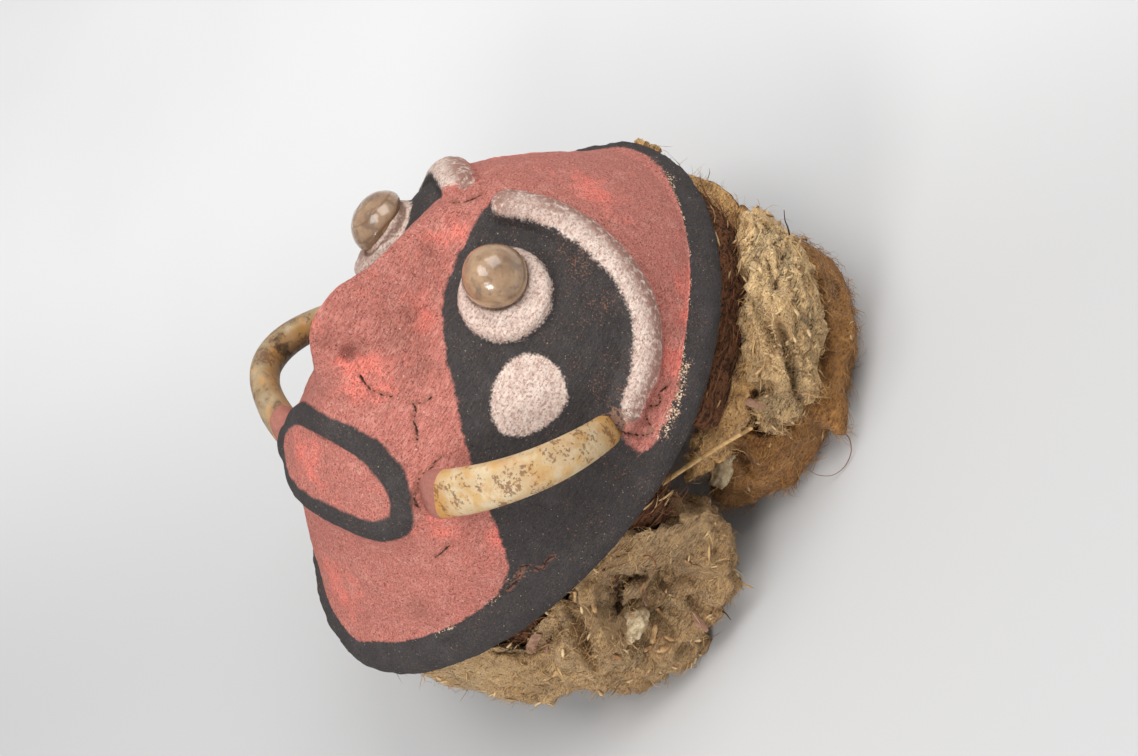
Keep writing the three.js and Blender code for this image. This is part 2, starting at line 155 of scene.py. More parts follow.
RIGHT_SHELL_MOVE = (-3, 2)
BROW_PAINT = [(0, 7.2), (0.3, 7.2), (0.75, 6.6), (1, 4.6)]
RING_HALF_WIDTH = 5.3
CORAL_PATCHES = [
    (17, -24, 13), (-11, -66, 11), (19, 10, 9), (11, 45, 8), (30, 96, 13), (78, 74, 15), (90, 48, 12),
    (-8, -111, 14), (57, -101, 12), (56, -64, 10), (72, -56, 8), (-30, 100, 14),
]
# Darker red patches as (x, y, radius); those around the nose's wings, tip and nostrils are painted shade.
SMUDGES_AND_NOSE_SHADE = [(20, -4, 11), (14, -16, 6), (4, -22, 5), (8, 35, 7), (28, -8, 9), (40, -100, 9), (-8, -26, 6),
    (17, 8, 8)]
# Painted shade in the nostril pits, as (x, y, radius).
NOSTRIL_SHADE = [(12, -20.5, 5), (-8, -22, 4.5)]
FLAKING = [
    (8, 124, 12), (18, 122, 12), (30, 119, 12), (42, 114, 12), (52, 107, 12), (60, 100, 13), (67, 94, 13),
    (74, 85, 13), (80, 76, 12), (86, 66, 11), (91, 56, 11), (95, 45, 11), (98, 36, 9), (100, 27, 8),
    (101, 18, 6), (76, -68, 8), (68, -82, 8), (50, -103, 8),
]
BARE_PLACES = [(90, 11, 9), (97, 14, 6), (76, -66, 5)]
SPECKLED = [(58, 58, 11), (70, 52, 11), (50, 62, 7), (82, 34, 8), (84, 18, 8), (30, 62, 7)]
DULL_WHITE = [(18, 66, 14), (36, 77, 8), (-44, 34, 16)]
CRACKS = [
    [(31, -25), (34, -28), (34, -31), (38, -34), (40, -38)],
    [(36, -19), (35, -22), (33, -24)],
    [(51, -38), (49, -42), (49, -46), (46, -50), (47, -54), (46, -58), (49, -62)],
    [(50, -79), (53, -76), (55, -74), (58, -69)],
    [(93, 37), (93, 31), (95, 27), (93, 22), (96, 17)],
    [(88, 3), (92, 8), (95, 10), (99, 17)],
    [(84, -52), (82, -56), (82, -59), (77, -62), (76, -67), (72, -74)],
    [(16, -26), (18, -29), (22, -29), (25, -27)],
    [(-6, -34), (-8, -39), (-7, -44)],
    [(3, 60), (7, 63), (9, 69)],
]
CRACK_DEPTH = 1.1
CRACK_HALF_WIDTH = 0.65

# The backdrop sheet's shades, as shares of its colour: painted shade away from the light, painted light in it, and
# faint clouds.
SHEET_PAINTED_SHADE = 0.82
SHEET_PAINTED_LIGHT = 1.24
SHEET_CLOUDED = 0.85

# Felt: how each wad of cobweb is matted. grain is the way that its folds run, lumps, folds, crumbs and plates
# are heights in millimetres, tone is painted shade, how dark it is at its two ends along a direction in the
# picture, and hollows are (pixel x, pixel y, half length, half width, depth, turn in degrees), below zero for a
# roll; hollows get painted shade and rolls lose it.
FELT_REACH = 0.96
FELTS = {
    "upper_felt_pad": dict(
        slot="tan_felt", tone=(0.5, -0.25, 90), grain=(0.45, -0.85, -0.25), lumps=2.6, folds=3.2,
        crumbs=1.6, lift=6,
        spread=0.5, plates=2.3, threads=1200, curls=1500, flakes=800, shreds=260, seed=1,
        hollows=[(795, 365, 24, 3.5, 8, -78), (770, 330, 17, 2.5, 5, -70), (757, 395, 12, 4, 6, 20),
                 (752, 300, 14, 2.2, 4, -95), (780, 280, 12, 2, 3, -70)],
    ),
    "folded_felt": dict(
        slot="brown_felt", tone=(0.5, 0.3, 90), grain=(0.35, -0.9, -0.1), lumps=2.0, folds=1.4,
        crumbs=0.5, lift=0,
        spread=0, plates=0.3, threads=4600, curls=1800, flakes=120, shreds=40, seed=2,
        hollows=[(822, 330, 26, 3.5, 7, -85), (742, 455, 12, 4, 6, -60)],
    ),
    "lower_felt": dict(
        slot="tan_felt", tone=(0.3, 1.05, 0), grain=(-0.45, -0.85, 0.2), lumps=2.4, folds=2.8, crumbs=1.6,
        lift=17,
        spread=1, plates=1.9, threads=4200, curls=2900, flakes=1100, shreds=320, seed=3,
        hollows=[(664, 602, 29, 24, 18, 70), (628, 604, 14, 5, 7, 75), (545, 640, 20, 10, 6, 20),
                 (594, 622, 28, 3.6, 13, 95), (620, 560, 24, 4.6, -4.5, 58), (580, 660, 15, 3.6, -3.5, 62),
                 (722, 560, 20, 3.6, -2.6, 96)],
    ),
    "right_upper_felt": dict(
        slot="brown_felt", tone=(0.55, 0.55, 0), grain=(-0.3, -0.9, 0), lumps=5, folds=4, crumbs=1.2, lift=8,
        spread=0.5, plates=1.6, threads=2600, curls=2300, flakes=500, shreds=200, hollows=[], seed=4,
    ),
    "right_lower_felt": dict(
        slot="tan_felt", tone=(0.45, 0.45, 0), grain=(0.3, -0.9, 0), lumps=5, folds=4, crumbs=1.3, lift=8,
        spread=0.5, plates=1.6, threads=2600, curls=2300, flakes=600, shreds=220, hollows=[], seed=5,
    ),
}

# Camera, fitted to the rim and the eyes: where it looks from, in degrees about the face's own axes
CAMERA_TURN = 46
CAMERA_LIFT = -4.6
CAMERA_ROLL = 29.7
CAMERA_DISTANCE = 1300
CAMERA_TARGET = (21.5, 22.5, 92)
FRAME_WIDTH = 512
SENSOR = 36
IMAGE = (1138, 756)

face_low, face_high = (np.array(corner) * 1000 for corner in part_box("face"))
SHIFT = np.array([(face_low[0] + face_high[0]) / 2, face_low[1] + CHIN_LENGTH - WIDEST_Y, 0])


def srgb(red, green, blue):
    """A colour given in the 0 to 255 steps of a picture, as Blender's linear values."""
    steps = [v / 255 for v in (red, green, blue)]
    return tuple(v / 12.92 if v <= 0.04045 else ((v + 0.055) / 1.055) ** 2.4 for v in steps)


def smoothstep(value, low, high):
    t = np.clip((value - low) / (high - low), 0, 1)
    return t * t * (3 - 2 * t)


def unit(vectors):
    vectors = np.asarray(vectors, float)
    return vectors / np.maximum(np.linalg.norm(vectors, axis=-1, keepdims=True), 1e-12)


def metres(points):
    return (np.asarray(points, float) + SHIFT) / 1000


def through(rows, place, column=1):
    """The value at a place on a smooth line through rows of (place, value, value, ...)."""
    table = np.array(rows, float)
    places, values = table[:, 0], table[:, column]
    slopes = np.diff(values) / np.diff(places)
    tangents = np.concatenate([slopes[:1], (slopes[:-1] + slopes[1:]) / 2, slopes[-1:]])
    place = np.clip(place, places[0], places[-1])
    i = np.clip(np.searchsorted(places, place, side="right") - 1, 0, len(places) - 2)
    width = places[i + 1] - places[i]
    t = (place - places[i]) / width
    start = values[i] * (1 + 2 * t) * (1 - t) ** 2 + tangents[i] * width * t * (1 - t) ** 2
    return start + values[i + 1] * t * t * (3 - 2 * t) + tangents[i + 1] * width * t * t * (t - 1)


def outline(angle, inset):
    power = 2 / OVAL_POWER
    c, s = np.cos(angle), np.sin(angle)
    length = np.where(s > 0, CROWN_LENGTH, CHIN_LENGTH) - inset
    x = (RIM_WIDTH / 2 - inset) * np.sign(c) * np.abs(c) ** power
    return x, WIDEST_Y + length * np.sign(s) * np.abs(s) ** power


def nose_height(x, y):
    half = NOSE_HALF_WIDTH * through(NOSE, y, 2)
    t = np.minimum(1, np.abs(x) / half)
    crest = (1 - t * t) ** 2 * 0.6 + (1 - t) ** 1.5 * 0.4
    return NOSE_RISE * through(NOSE, y) * crest


def dome_height(x, y, inset, depth, nose_share):
    length = np.where(y > WIDEST_Y, CROWN_LENGTH, CHIN_LENGTH) - inset
    share = np.minimum(1, np.abs(y - WIDEST_Y) / length)
    half = (RIM_WIDTH / 2 - inset) * (1 - share**OVAL_POWER) ** (1 / OVAL_POWER)
    across = np.where(half > 0, np.minimum(1, np.abs(x) / np.maximum(half, 1e-9)), 1)
    dome = depth * through(PROFILE, y) * (1 - across * across) ** DOME_ROUNDNESS
    return dome + nose_share * nose_height(x, y)


def on_face(x, y):
    """Points of the plain face, without its relief."""
    x, y = np.asarray(x, float), np.asarray(y, float)
    z = RIM_HEIGHT + DOME_FOOT + dome_height(x, y, HOOP_WIDTH, DOME_DEPTH, 1)
    return np.stack([x, y, z], -1)


def normal_on_face(x, y, step=0.8):
    x, y = np.asarray(x, float), np.asarray(y, float)
    along_x = on_face(x + step, y) - on_face(x - step, y)
    along_y = on_face(x, y + step) - on_face(x, y - step)
    return unit(np.cross(along_x, along_y))


def rounded(points, closed, rounds=2):
    """A line with its corners cut, so that it runs smoothly."""
    points = np.array(points, float)
    for _ in range(rounds):
        following = np.roll(points, -1, 0) if closed else points[1:]
        start = points if closed else points[:-1]
        cut = np.stack([0.75 * start + 0.25 * following, 0.25 * start + 0.75 * following], 1).reshape(-1, 2)
        points = cut if closed else np.vstack([points[:1], cut, points[-1:]])
    return points


def gap_to_line(points, line):
    """Distance from each point to a line of points."""
    nearest = np.full(len(points), np.inf)
    for a, b in zip(line[:-1], line[1:]):
        along = b - a
        t = np.clip((points - a) @ along / max(along @ along, 1e-12), 0, 1)
        nearest = np.minimum(nearest, np.linalg.norm(points - a - t[:, None] * along, axis=1))
    return nearest


def inside(points, polygon):
    """Whether each point lies inside a closed outline, both seen from above."""
    result = np.zeros(len(points), bool)
    x, y = points[:, 0], points[:, 1]
    for (ax, ay), (bx, by) in zip(polygon, np.roll(polygon, -1, 0)):
        if ay != by:
            result ^= ((ay > y) != (by > y)) & (x < (bx - ax) * (y - ay) / (by - ay) + ax)
    return result


def edge_distance(points, corners):
    """Distance to the edge of a painted area, above zero inside it."""
    polygon = rounded(corners, True)
    line = on_face(*np.vstack([polygon, polygon[:1]]).T)
    return gap_to_line(points, line) * np.where(inside(points, polygon), 1, -1)


def patches(points, places):
    """From 0 to 1, how near each point is to the middle of some patches of (x, y, radius)."""
    total = np.zeros(len(points))
    for x, y, radius in places:
        total = np.maximum(total, np.exp(-(np.linalg.norm(points - on_face(x, y), axis=1) / radius) ** 2))
    return total


def uneven(points, size, seed, octaves=2):
    """Smooth random heights from about -1 to 1, whose lumps are size millimetres apart."""
    shift = Vector((17.3 * seed, -9.1 * seed, 5.7 * seed))
    scaled = (np.asarray(points) / size).tolist()
    return np.array([noise.fractal(Vector(p) + shift, 1.0, 2.0, octaves) for p in scaled])


def plates(points, size, seed):
    """Torn scraps: how far each point is from the edge of its scrap, and the scrap's own share from 0 to 1."""
    shift = Vector((3.1 * seed, 7.7 * seed, -5.3 * seed))
    edges, shares = [], []
    for p in (np.asarray(points) / size).tolist():
        distances, centres = noise.voronoi(Vector(p) + shift)
        edges.append(distances[1] - distances[0])
        shares.append(noise.cell(centres[0] * 9.7) * 0.5 + 0.5)
    return np.array(edges), np.array(shares)


def mirrored(points):
    return points * np.array([-1, 1, 1])


stations = np.linspace(0, 1, 41)
BROW_LINES = [on_face(through(brow, stations, 1), through(brow, stations, 2)) for brow in (LEFT_BROW,
    RIGHT_BROW)]
EYE_CENTRE = on_face(*EYE_PLACE)
mouth_turn = np.linspace(-math.pi / 2, math.pi / 2, 49)
MOUTH_LINE = on_face(
    MOUTH_HALF_WIDTH * np.maximum(0, np.cos(mouth_turn)) ** (2 / MOUTH_POWER),
    MOUTH_Y + MOUTH_HALF_HEIGHT * np.sign(np.sin(mouth_turn)) * np.abs(np.sin(mouth_turn)) ** (2 / MOUTH_POWER),
)


def relief(base):
    """How far the paste stands above the plain face: brows, eye mounds, lips and nostrils."""
    p = base * np.array([1, 1, 1])
    p[:, 0] = np.abs(p[:, 0])
    to_brow = np.where(base[:, 0] > 0, gap_to_line(p, BROW_LINES[0]), gap_to_line(p, BROW_LINES[1]))
    brow = BROW_RISE * np.sqrt(np.maximum(0, 1 - (to_brow / BROW_HALF_WIDTH) ** 2))
    to_eye = np.linalg.norm(p - EYE_CENTRE, axis=1)
    mound = MOUND_RISE * (1 - smoothstep(to_eye, MOUND_RADIUS - 2.5, MOUND_RADIUS + 2.5))
    across, up = p[:, 0] / MOUTH_HALF_WIDTH, np.abs(p[:, 1] - MOUTH_Y) / MOUTH_HALF_HEIGHT
    lip = np.exp(-((gap_to_line(p, MOUTH_LINE) / LIP_HALF_WIDTH) ** 2))
    within = across**MOUTH_POWER + up**MOUTH_POWER < 1
    lips = LIP_RISE * np.where(within, MOUTH_FLOOR + (1 - MOUTH_FLOOR) * lip, lip)
    nostril = np.hypot(p[:, 0] - NOSTRIL_PLACE[0], p[:, 1] - NOSTRIL_PLACE[1]) / NOSTRIL_RADIUS
    return np.maximum(brow, mound) + lips - NOSTRIL_DEPTH * np.exp(-(nostril**2))


# The camera's own axes, which also place the small litter by the photograph's pixels
turn, lift, roll = (math.radians(v) for v in (CAMERA_TURN, CAMERA_LIFT, CAMERA_ROLL))
VIEW = np.array([math.sin(turn) * math.cos(lift), math.sin(lift), math.cos(turn) * math.cos(lift)])
upright = unit(np.array([0, 1, 0]) - VIEW[1] * VIEW)
sideways = np.cross(upright, VIEW)
IMAGE_RIGHT = math.cos(roll) * sideways + math.sin(roll) * upright
IMAGE_UP = math.cos(roll) * upright - math.sin(roll) * sideways
EYE_POINT = np.array(CAMERA_TARGET) + CAMERA_DISTANCE * VIEW
MM_PER_PIXEL = FRAME_WIDTH / IMAGE[0]


def sight(x, y):
    """The direction in which the camera sees a pixel of the photograph."""
    across = (x - IMAGE[0] / 2) * MM_PER_PIXEL / CAMERA_DISTANCE
    up = (IMAGE[1] / 2 - y) * MM_PER_PIXEL / CAMERA_DISTANCE
    return unit(across * IMAGE_RIGHT + up * IMAGE_UP - VIEW)


def link(piece):
    bpy.context.scene.collection.objects.link(piece)
    return piece


def mesh_object(name, points, faces, material, attributes=None, second=None, second_faces=None):
    """A smooth object from points in millimetres. attributes are values for each point."""
    mesh = bpy.data.meshes.new(name)
    mesh.from_pydata(metres(points).tolist(), [], [tuple(f) for f in faces])
    mesh.update()
    volume = sum(face.center.dot(face.normal) * face.area for face in mesh.polygons)
    if volume < 0:
        mesh.flip_normals()
    mesh.shade_smooth()
    mesh.materials.append(material)
    if second:
        mesh.materials.append(second)
        mesh.polygons.foreach_set("material_index", np.array(second_faces, np.int32))
    for label, values in (attributes or {}).items():
        store(mesh, label, values)
    return link(bpy.data.objects.new(name, mesh))


def store(mesh, label, values):
    values = np.asarray(values, np.float32)
    kind, field = ("FLOAT", "value") if values.ndim == 1 else ("FLOAT_VECTOR", "vector")
    mesh.attributes.new(label, kind, "POINT").data.foreach_set(field, values.ravel())


def ring_faces(rings, size):
    """Faces between closed rings of equal size, with a fan from a middle point at each end."""
    i, j = np.meshgrid(np.arange(rings - 1), np.arange(size), indexing="ij")
    following = (j + 1) % size
    quads = np.stack([i * size + j, i * size + following, (i + 1) * size + following, (i + 1) * size + j], -1)
    faces = quads.reshape(-1, 4).tolist()
    around = np.arange(size)
    first, last = rings * size, rings * size + 1
    start = (rings - 1) * size
    faces += [(first, int((k + 1) % size), int(k)) for k in around]
    faces += [(last, int(start + k), int(start + (k + 1) % size)) for k in around]
    return faces


def ringed(rings):
    """Points and faces of a closed body from a list of rings, with its two ends closed."""
    points = np.vstack([*rings, rings[0].mean(0)[None], rings[-1].mean(0)[None]])
    return points, ring_faces(len(rings), len(rings[0]))


def baked(piece, name):
    """The piece with its modifiers worked out, as a plain mesh under a new name."""
    bpy.context.view_layer.update()
    evaluated = piece.evaluated_get(bpy.context.evaluated_depsgraph_get())
    mesh = bpy.data.meshes.new_from_object(evaluated)
    bpy.data.objects.remove(piece)
    mesh.name = name
    return link(bpy.data.objects.new(name, mesh))


def read_points(mesh):
    flat = np.empty(len(mesh.vertices) * 3, np.float32)
    mesh.vertices.foreach_get("co", flat)
    return flat.reshape(-1, 3).astype(float) * 1000 - SHIFT


def read_normals(mesh):
    flat = np.empty(len(mesh.vertices) * 3, np.float32)
    mesh.vertex_normals.foreach_get("vector", flat)
    return flat.reshape(-1, 3).astype(float)


def write_points(mesh, points):
    mesh.vertices.foreach_set("co", metres(points).astype(np.float32).ravel())
    mesh.update()


def place(piece, slot, *nodes):
    """Hands a finished piece to the frame: attaches it to its body and hides the solids that it stands for. The slot
    argument is not used.
    """
    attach(piece, BODY)
    if nodes:
        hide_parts(*nodes)
    return piece


class Sum:
    """A shader socket that holds a number. Signs and sums between such sockets add Math nodes."""

    def __init__(self, finish, socket):
        self.finish = finish
        self.socket = socket

    def math(self, operation, *others):
        node = self.finish.node("ShaderNodeMath", {"operation": operation}, dict(enumerate((self, *others))))
        return Sum(self.finish, node.outputs[0])

    def reflected(self, operation, other):
        node = self.finish.node("ShaderNodeMath", {"operation": operation}, {0: other, 1: self})
        return Sum(self.finish, node.outputs[0])

    def __add__(self, other):
        return self.math("ADD", other)

    def __radd__(self, other):
        return self.reflected("ADD", other)

    def __sub__(self, other):
        return self.math("SUBTRACT", other)

    def __rsub__(self, other):
        return self.reflected("SUBTRACT", other)

    def __mul__(self, other):
        return self.math("MULTIPLY", other)

    def __rmul__(self, other):
        return self.reflected("MULTIPLY", other)

    def __truediv__(self, other):
        return self.math("DIVIDE", other)

    def __abs__(self):
        return self.math("ABSOLUTE")

    def over(self, low, high):
        """0 below low, 1 above high, and smooth between them."""
        settings = {"interpolation_type": "SMOOTHSTEP"}
        node = self.finish.node("ShaderNodeMapRange", settings, {0: self, 1: low, 2: high})
        return Sum(self.finish, node.outputs[0])

    def under(self, low, high):
        return 1 - self.over(low, high)

    def most(self, other):
        return self.math("MAXIMUM", other)


class Finish:
    """A material made of nodes around one Principled shader."""

    def __init__(self, name):
        self.material = bpy.data.materials.new(name)
        self.material.use_nodes = True
        self.tree = self.material.node_tree
        self.shader = self.tree.nodes["Principled BSDF"]
        self.where = self.tree.nodes.new("ShaderNodeTexCoord").outputs["Object"]

    def node(self, kind, settings=None, sockets=None):
        node = self.tree.nodes.new(kind)
        for label, value in (settings or {}).items():
            setattr(node, label, value)
        for label, value in (sockets or {}).items():
            source = value.socket if isinstance(value, Sum) else value
            if isinstance(source, bpy.types.NodeSocket):
                self.tree.links.new(source, node.inputs[label])
            else:
                node.inputs[label].default_value = source
        return node

    def attribute(self, label):
        node = self.node("ShaderNodeAttribute", {"attribute_name": label})
        return Sum(self, node.outputs["Fac"])

    def turned(self, angles=(0, 0, 0), stretch=(1, 1, 1), where=None):
        sockets = {"Vector": where or self.where, "Rotation": angles, "Scale": stretch}
        return self.node("ShaderNodeMapping", None, sockets).outputs["Vector"]

    def clouds(self, size, detail=2, where=None, roughness=0.55):
        """Noise from 0 to 1 whose lumps are size millimetres apart."""
        sockets = {"Vector": where or self.where, "Scale": 1000 / size, "Detail": detail,
            "Roughness": roughness}
        return Sum(self, self.node("ShaderNodeTexNoise", None, sockets).outputs["Fac"])

    def hairs(self, size, amount, seed=0):
        """Short fine lines that lie three ways, from 0 to 1. amount is the share of noise that they keep."""
        found = None
        for step in range(3):
            angles = (0.7 * step + seed, 1.1 * step + 0.3 * seed, 1.9 * step + 0.5)
            lines = self.clouds(size, 1, self.turned(angles, (1, 0.16, 1)))
            lines = lines.over(1 - amount, 1.08 - amount)
            found = found.most(lines) if found else lines
        return found

    def mix(self, factor, first, second):
        """One colour laid over another. The colours are triples or sockets."""
        sockets = {0: factor}
        for place_in, colour in ((6, first), (7, second)):
            sockets[place_in] = (*colour, 1) if isinstance(colour, (tuple, list)) else colour
        node = self.node("ShaderNodeMix", {"data_type": "RGBA"}, sockets)
        return node.outputs[2]

    def bump(self, height, depth, normal=None):
        sockets = {"Height": height, "Distance": depth / 1000, "Strength": 1}
        if normal:
            sockets["Normal"] = normal
        return self.node("ShaderNodeBump", None, sockets).outputs["Normal"]

    def done(self, colour, rough, normal, **constants):
        links = {"Base Color": colour, "Roughness": rough, "Normal": normal}
        for label, value in links.items():
            source = value.socket if isinstance(value, Sum) else value
            if isinstance(source, bpy.types.NodeSocket):
                self.tree.links.new(source, self.shader.inputs[label])
            else:
                self.shader.inputs[label].default_value = source
        for label, value in constants.items():
            self.shader.inputs[label.replace("_", " ").title().replace("Ior", "IOR")].default_value = value
        return self.material


def colour_of(name):
    return tuple(getattr(bpy.context.scene.mask_colours, name))


def painted_paste():
    """Matt earth paint on lumpy paste full of short fibres, worn at its edges and cracks, with painted shade in the
    nostrils, around the nose and around the feet of the eye shells.
    """
    f = Finish("painted_paste")
    wander = (f.clouds(7) - 0.5) * 3.4 + (f.clouds(1.8) - 0.5) * 2.4 + (f.clouds(0.8) - 0.5) * 1.2
    red_edge = f.attribute("red_edge") + wander
    fibres = f.hairs(0.75, 0.43)
    dark_fibres = f.hairs(0.7, 0.43, 2.3)
    grain = f.clouds(0.8, 3)
    blotches = f.clouds(19, 4)

    coral = (f.attribute("coral") * 1.1 + (f.clouds(10, 4) - 0.5) * 2.4).over(0.15, 1.05)
    red = f.mix(coral * 0.85, colour_of("red"), colour_of("coral"))
    # Painted shade around the nose's wings and tip, with other darker red patches.
    smudge = (f.attribute("smudge") * 0.9 + (blotches - 0.46) * 1.5).over(0.1, 1)
    red = f.mix(smudge * 0.7, red, srgb(146, 90, 78))
    red = f.mix(f.clouds(8, 3).over(0.5, 0.72) * 0.45, red, srgb(206, 142, 128))
    red = f.mix(f.clouds(1.4, 4).over(0.5, 0.66) * 0.22, red, srgb(216, 158, 144))
    red = f.mix(f.clouds(2.2, 4).under(0.36, 0.5) * 0.32, red, srgb(136, 80, 68))
    red = f.mix(fibres * 0.16, red, srgb(222, 172, 158))
    red = f.mix(dark_fibres * 0.34, red, srgb(116, 62, 52))
    red = f.mix(grain.under(0.37, 0.43) * 0.75, red, srgb(104, 56, 46))
    # Painted shade in the nostril pits.
    red = f.mix(f.attribute("nostril").over(0.2, 0.9) * 0.75, red, srgb(92, 50, 42))
    red = f.mix(f.clouds(1.5, 2).over(0.71, 0.75) * 0.7, red, srgb(222, 180, 164))

    dust = (f.clouds(9, 3) - 0.4) * 1.8
    black = f.mix(dust.over(0, 1) * 0.5, colour_of("black"), srgb(86, 81, 80))
    black = f.mix(fibres * 0.1, black, srgb(116, 102, 94))
    black = f.mix(grain.under(0.38, 0.44) * 0.5, black, srgb(34, 30, 29))
    worn = f.attribute("speckled") * 0.075 + f.clouds(14) * 0.22 + f.clouds(0.9, 3) * 0.68
    black = f.mix(worn.over(0.552, 0.6) * 0.85, black, srgb(124, 90, 72))
    black = f.mix(f.clouds(1, 2).over(0.7, 0.75) * 0.8, black, srgb(176, 158, 142))

    white = f.mix(f.clouds(9, 3).over(0.35, 0.7), colour_of("white"), srgb(206, 182, 168))
    white = f.mix(dark_fibres * 0.25, white, srgb(158, 122, 108))
    white = f.mix(f.clouds(1.2, 4).under(0.4, 0.5) * 0.75, white, srgb(154, 118, 104))
    white = f.mix(f.clouds(2.8, 4).under(0.38, 0.5) * 0.4, white, srgb(164, 132, 118))
    white = f.mix(fibres * 0.2, white, srgb(244, 232, 222))
    white = f.mix(f.attribute("dull") * f.clouds(2.6, 3).over(0.3, 0.55) * 0.95, white, srgb(144, 104, 92))

    beside = abs(f.attribute("red_edge") + 1 + (f.clouds(5) - 0.5) * 5).under(0.6, 4.4)
    flaked = f.attribute("flaking") * beside + (f.clouds(0.8, 3) - 0.5) * 3 + (f.clouds(3) - 0.5) * 1.4
    flaked = flaked.over(0.88, 1.06)
    colour = f.mix(red_edge.over(-0.9, 0.9), black, red)
    white_edge = f.attribute("white_edge") + (f.clouds(5) - 0.5) * 2.4 + (f.clouds(1.1, 3) - 0.5) * 4
    colour = f.mix(white_edge.over(-0.8, 1), colour, white)
    ring_edge = f.attribute("ring_edge") + wander * 0.6
    colour = f.mix(ring_edge.over(-0.8, 0.8), colour, black)
    chalk = f.mix(f.clouds(0.9, 2).over(0.42, 0.6), srgb(150, 112, 86), srgb(224, 202, 174))
    colour = f.mix(flaked * 0.9, colour, chalk)
    bare_mask = (f.attribute("bare") + (f.clouds(1.7, 4) - 0.5) * 2).over(0.78, 0.9)
    colour = f.mix(bare_mask * 0.75, colour, srgb(140, 104, 84))
    crack = f.attribute("crack") + (f.clouds(1.3, 3) - 0.5) * 1.2 + (f.clouds(4) - 0.5) * 1.1
    colour = f.mix(crack.under(0.9, 2.2) * f.clouds(1.8).over(0.42, 0.58) * 0.6, colour, srgb(140, 92, 74))
    colour = f.mix(crack.under(0.15, 0.6), colour, srgb(52, 34, 28))
    # Painted shade in the groove around the foot of each eye shell.
    foot = f.attribute("grime") + (f.clouds(1.8, 3) - 0.5) * 0.8
    colour = f.mix(foot.over(0.5, 0.95) * 0.8, colour, srgb(108, 78, 60))

    rough = 0.86 + f.clouds(3) * 0.12
    height = f.clouds(2.6, 4) * 1.2 + f.clouds(0.8, 3) * 0.5 + fibres * 0.12 - dark_fibres * 0.2
    return f.done(colour, rough, f.bump(height, 0.52), specular_ior_level=0.25)


def raw_paste():
    """The unpainted back of the paste, brown and full of fibre."""
    f = Finish("raw_paste")
    fibres = f.hairs(2.2, 0.45, 1)
    colour = f.mix(f.clouds(14, 3).over(0.3, 0.7), srgb(84, 58, 42), srgb(122, 92, 66))
    colour = f.mix(fibres * 0.7, colour, srgb(160, 128, 92))
    colour = f.mix(f.clouds(1.4, 3).under(0.35, 0.45) * 0.7, colour, srgb(44, 30, 24))
    height = f.clouds(4, 4) + fibres * 0.5
    return f.done(colour, 0.95, f.bump(height, 1.1), specular_ior_level=0.2)


def snail_shell():
    """Glossy moon snail shell, clouded olive and tan, with faint lines along its whorl and painted shade at its foot.
    """
    f = Finish("snail_shell")
    whorl = f.attribute("whorl")
    lines = (whorl * 9 + f.clouds(6) * 2.2).math("SINE")
    colour = f.mix(f.clouds(9, 3).over(0.35, 0.68), colour_of("shell"), srgb(166, 135, 104))
    colour = f.mix(f.clouds(6, 2).under(0.34, 0.5) * 0.7, colour, srgb(114, 92, 74))
    colour = f.mix(lines.over(0.75, 1) * f.attribute("lines") * 0.55, colour, srgb(112, 78, 44))
    colour = f.mix(f.clouds(0.9, 3).over(0.66, 0.72) * 0.6, colour, srgb(92, 72, 50))
    # Painted shade at the foot of the shell, where it sits in the paste.
    foot = f.attribute("foot") + (f.clouds(2.4, 2) - 0.5) * 0.5
    colour = f.mix(foot.over(0.45, 0.9) * 0.85, colour, srgb(98, 72, 42))
    rough = 0.2 + f.clouds(4, 3).over(0.5, 0.8) * 0.2
    height = lines * 0.12 * f.attribute("lines") + f.clouds(3, 2) * 0.3
    return f.done(colour, rough, f.bump(height, 0.3), coat_weight=0.5, coat_roughness=0.08)


def ivory():
    """Old boar's tusk: cream, with brown specks, long streaks and an orange root."""
    f = Finish("ivory")
    long_way = f.node("ShaderNodeCombineXYZ", None, {
        "X": f.attribute("along") * 0.012, "Y": f.attribute("around") * 0.05, "Z": f.attribute("age")})
    streaks = f.clouds(2.6, 4, long_way.outputs[0])
    age = f.attribute("age")
    root = f.attribute("root")
    colour = f.mix(f.clouds(12, 3).over(0.3, 0.66), colour_of("ivory"), srgb(228, 208, 172))
    colour = f.mix((f.clouds(7, 3) + streaks * 0.5).over(0.66, 0.92) * 0.8, colour, srgb(214, 168, 98))
    colour = f.mix((root + (f.clouds(5) - 0.5) * 0.5).over(0.25, 0.9) * 0.9, colour, srgb(206, 148, 70))
    grey = (age + (streaks - 0.5) * 1.1 + (f.clouds(8, 3) - 0.5) * 0.8).over(0.45, 1.05)
    colour = f.mix(grey * f.attribute("outside"), colour, srgb(142, 120, 90))
    inner = (1 - f.attribute("outside")) * age
    colour = f.mix(inner * 0.85, colour, srgb(172, 116, 48))
    colour = f.mix(f.clouds(6, 4).over(0.5, 0.68) * 0.6, colour, srgb(206, 148, 84))
    specks = (f.clouds(1.5, 3) * 0.6 + f.clouds(8, 2) * 0.56).over(0.61, 0.68)
    colour = f.mix(specks * 0.75, colour, srgb(128, 84, 52))
    colour = f.mix(f.clouds(0.9, 3).over(0.68, 0.76) * 0.5, colour, srgb(150, 104, 66))
    stain = (f.attribute("stain") + (f.clouds(3.5, 3) - 0.5) * 1.3).over(0.6, 0.9)
    colour = f.mix(stain * 0.8, colour, srgb(62, 44, 30))
    colour = f.mix(streaks.under(0.3, 0.36) * 0.6, colour, srgb(126, 92, 56))
    lapped = (f.attribute("lapped") + (f.clouds(2) - 0.5) * 0.5).over(0.35, 0.6)
    colour = f.mix(lapped, colour, f.mix(f.clouds(1.4, 3), srgb(148, 92, 80), srgb(196, 128, 112)))
    rough = 0.34 + f.clouds(3, 3) * 0.25 + lapped * 0.4
    height = streaks * 0.8 + f.clouds(1.2, 3) * 0.25 - specks * 0.3
    return f.done(colour, rough, f.bump(height, 0.42), specular_ior_level=0.5)


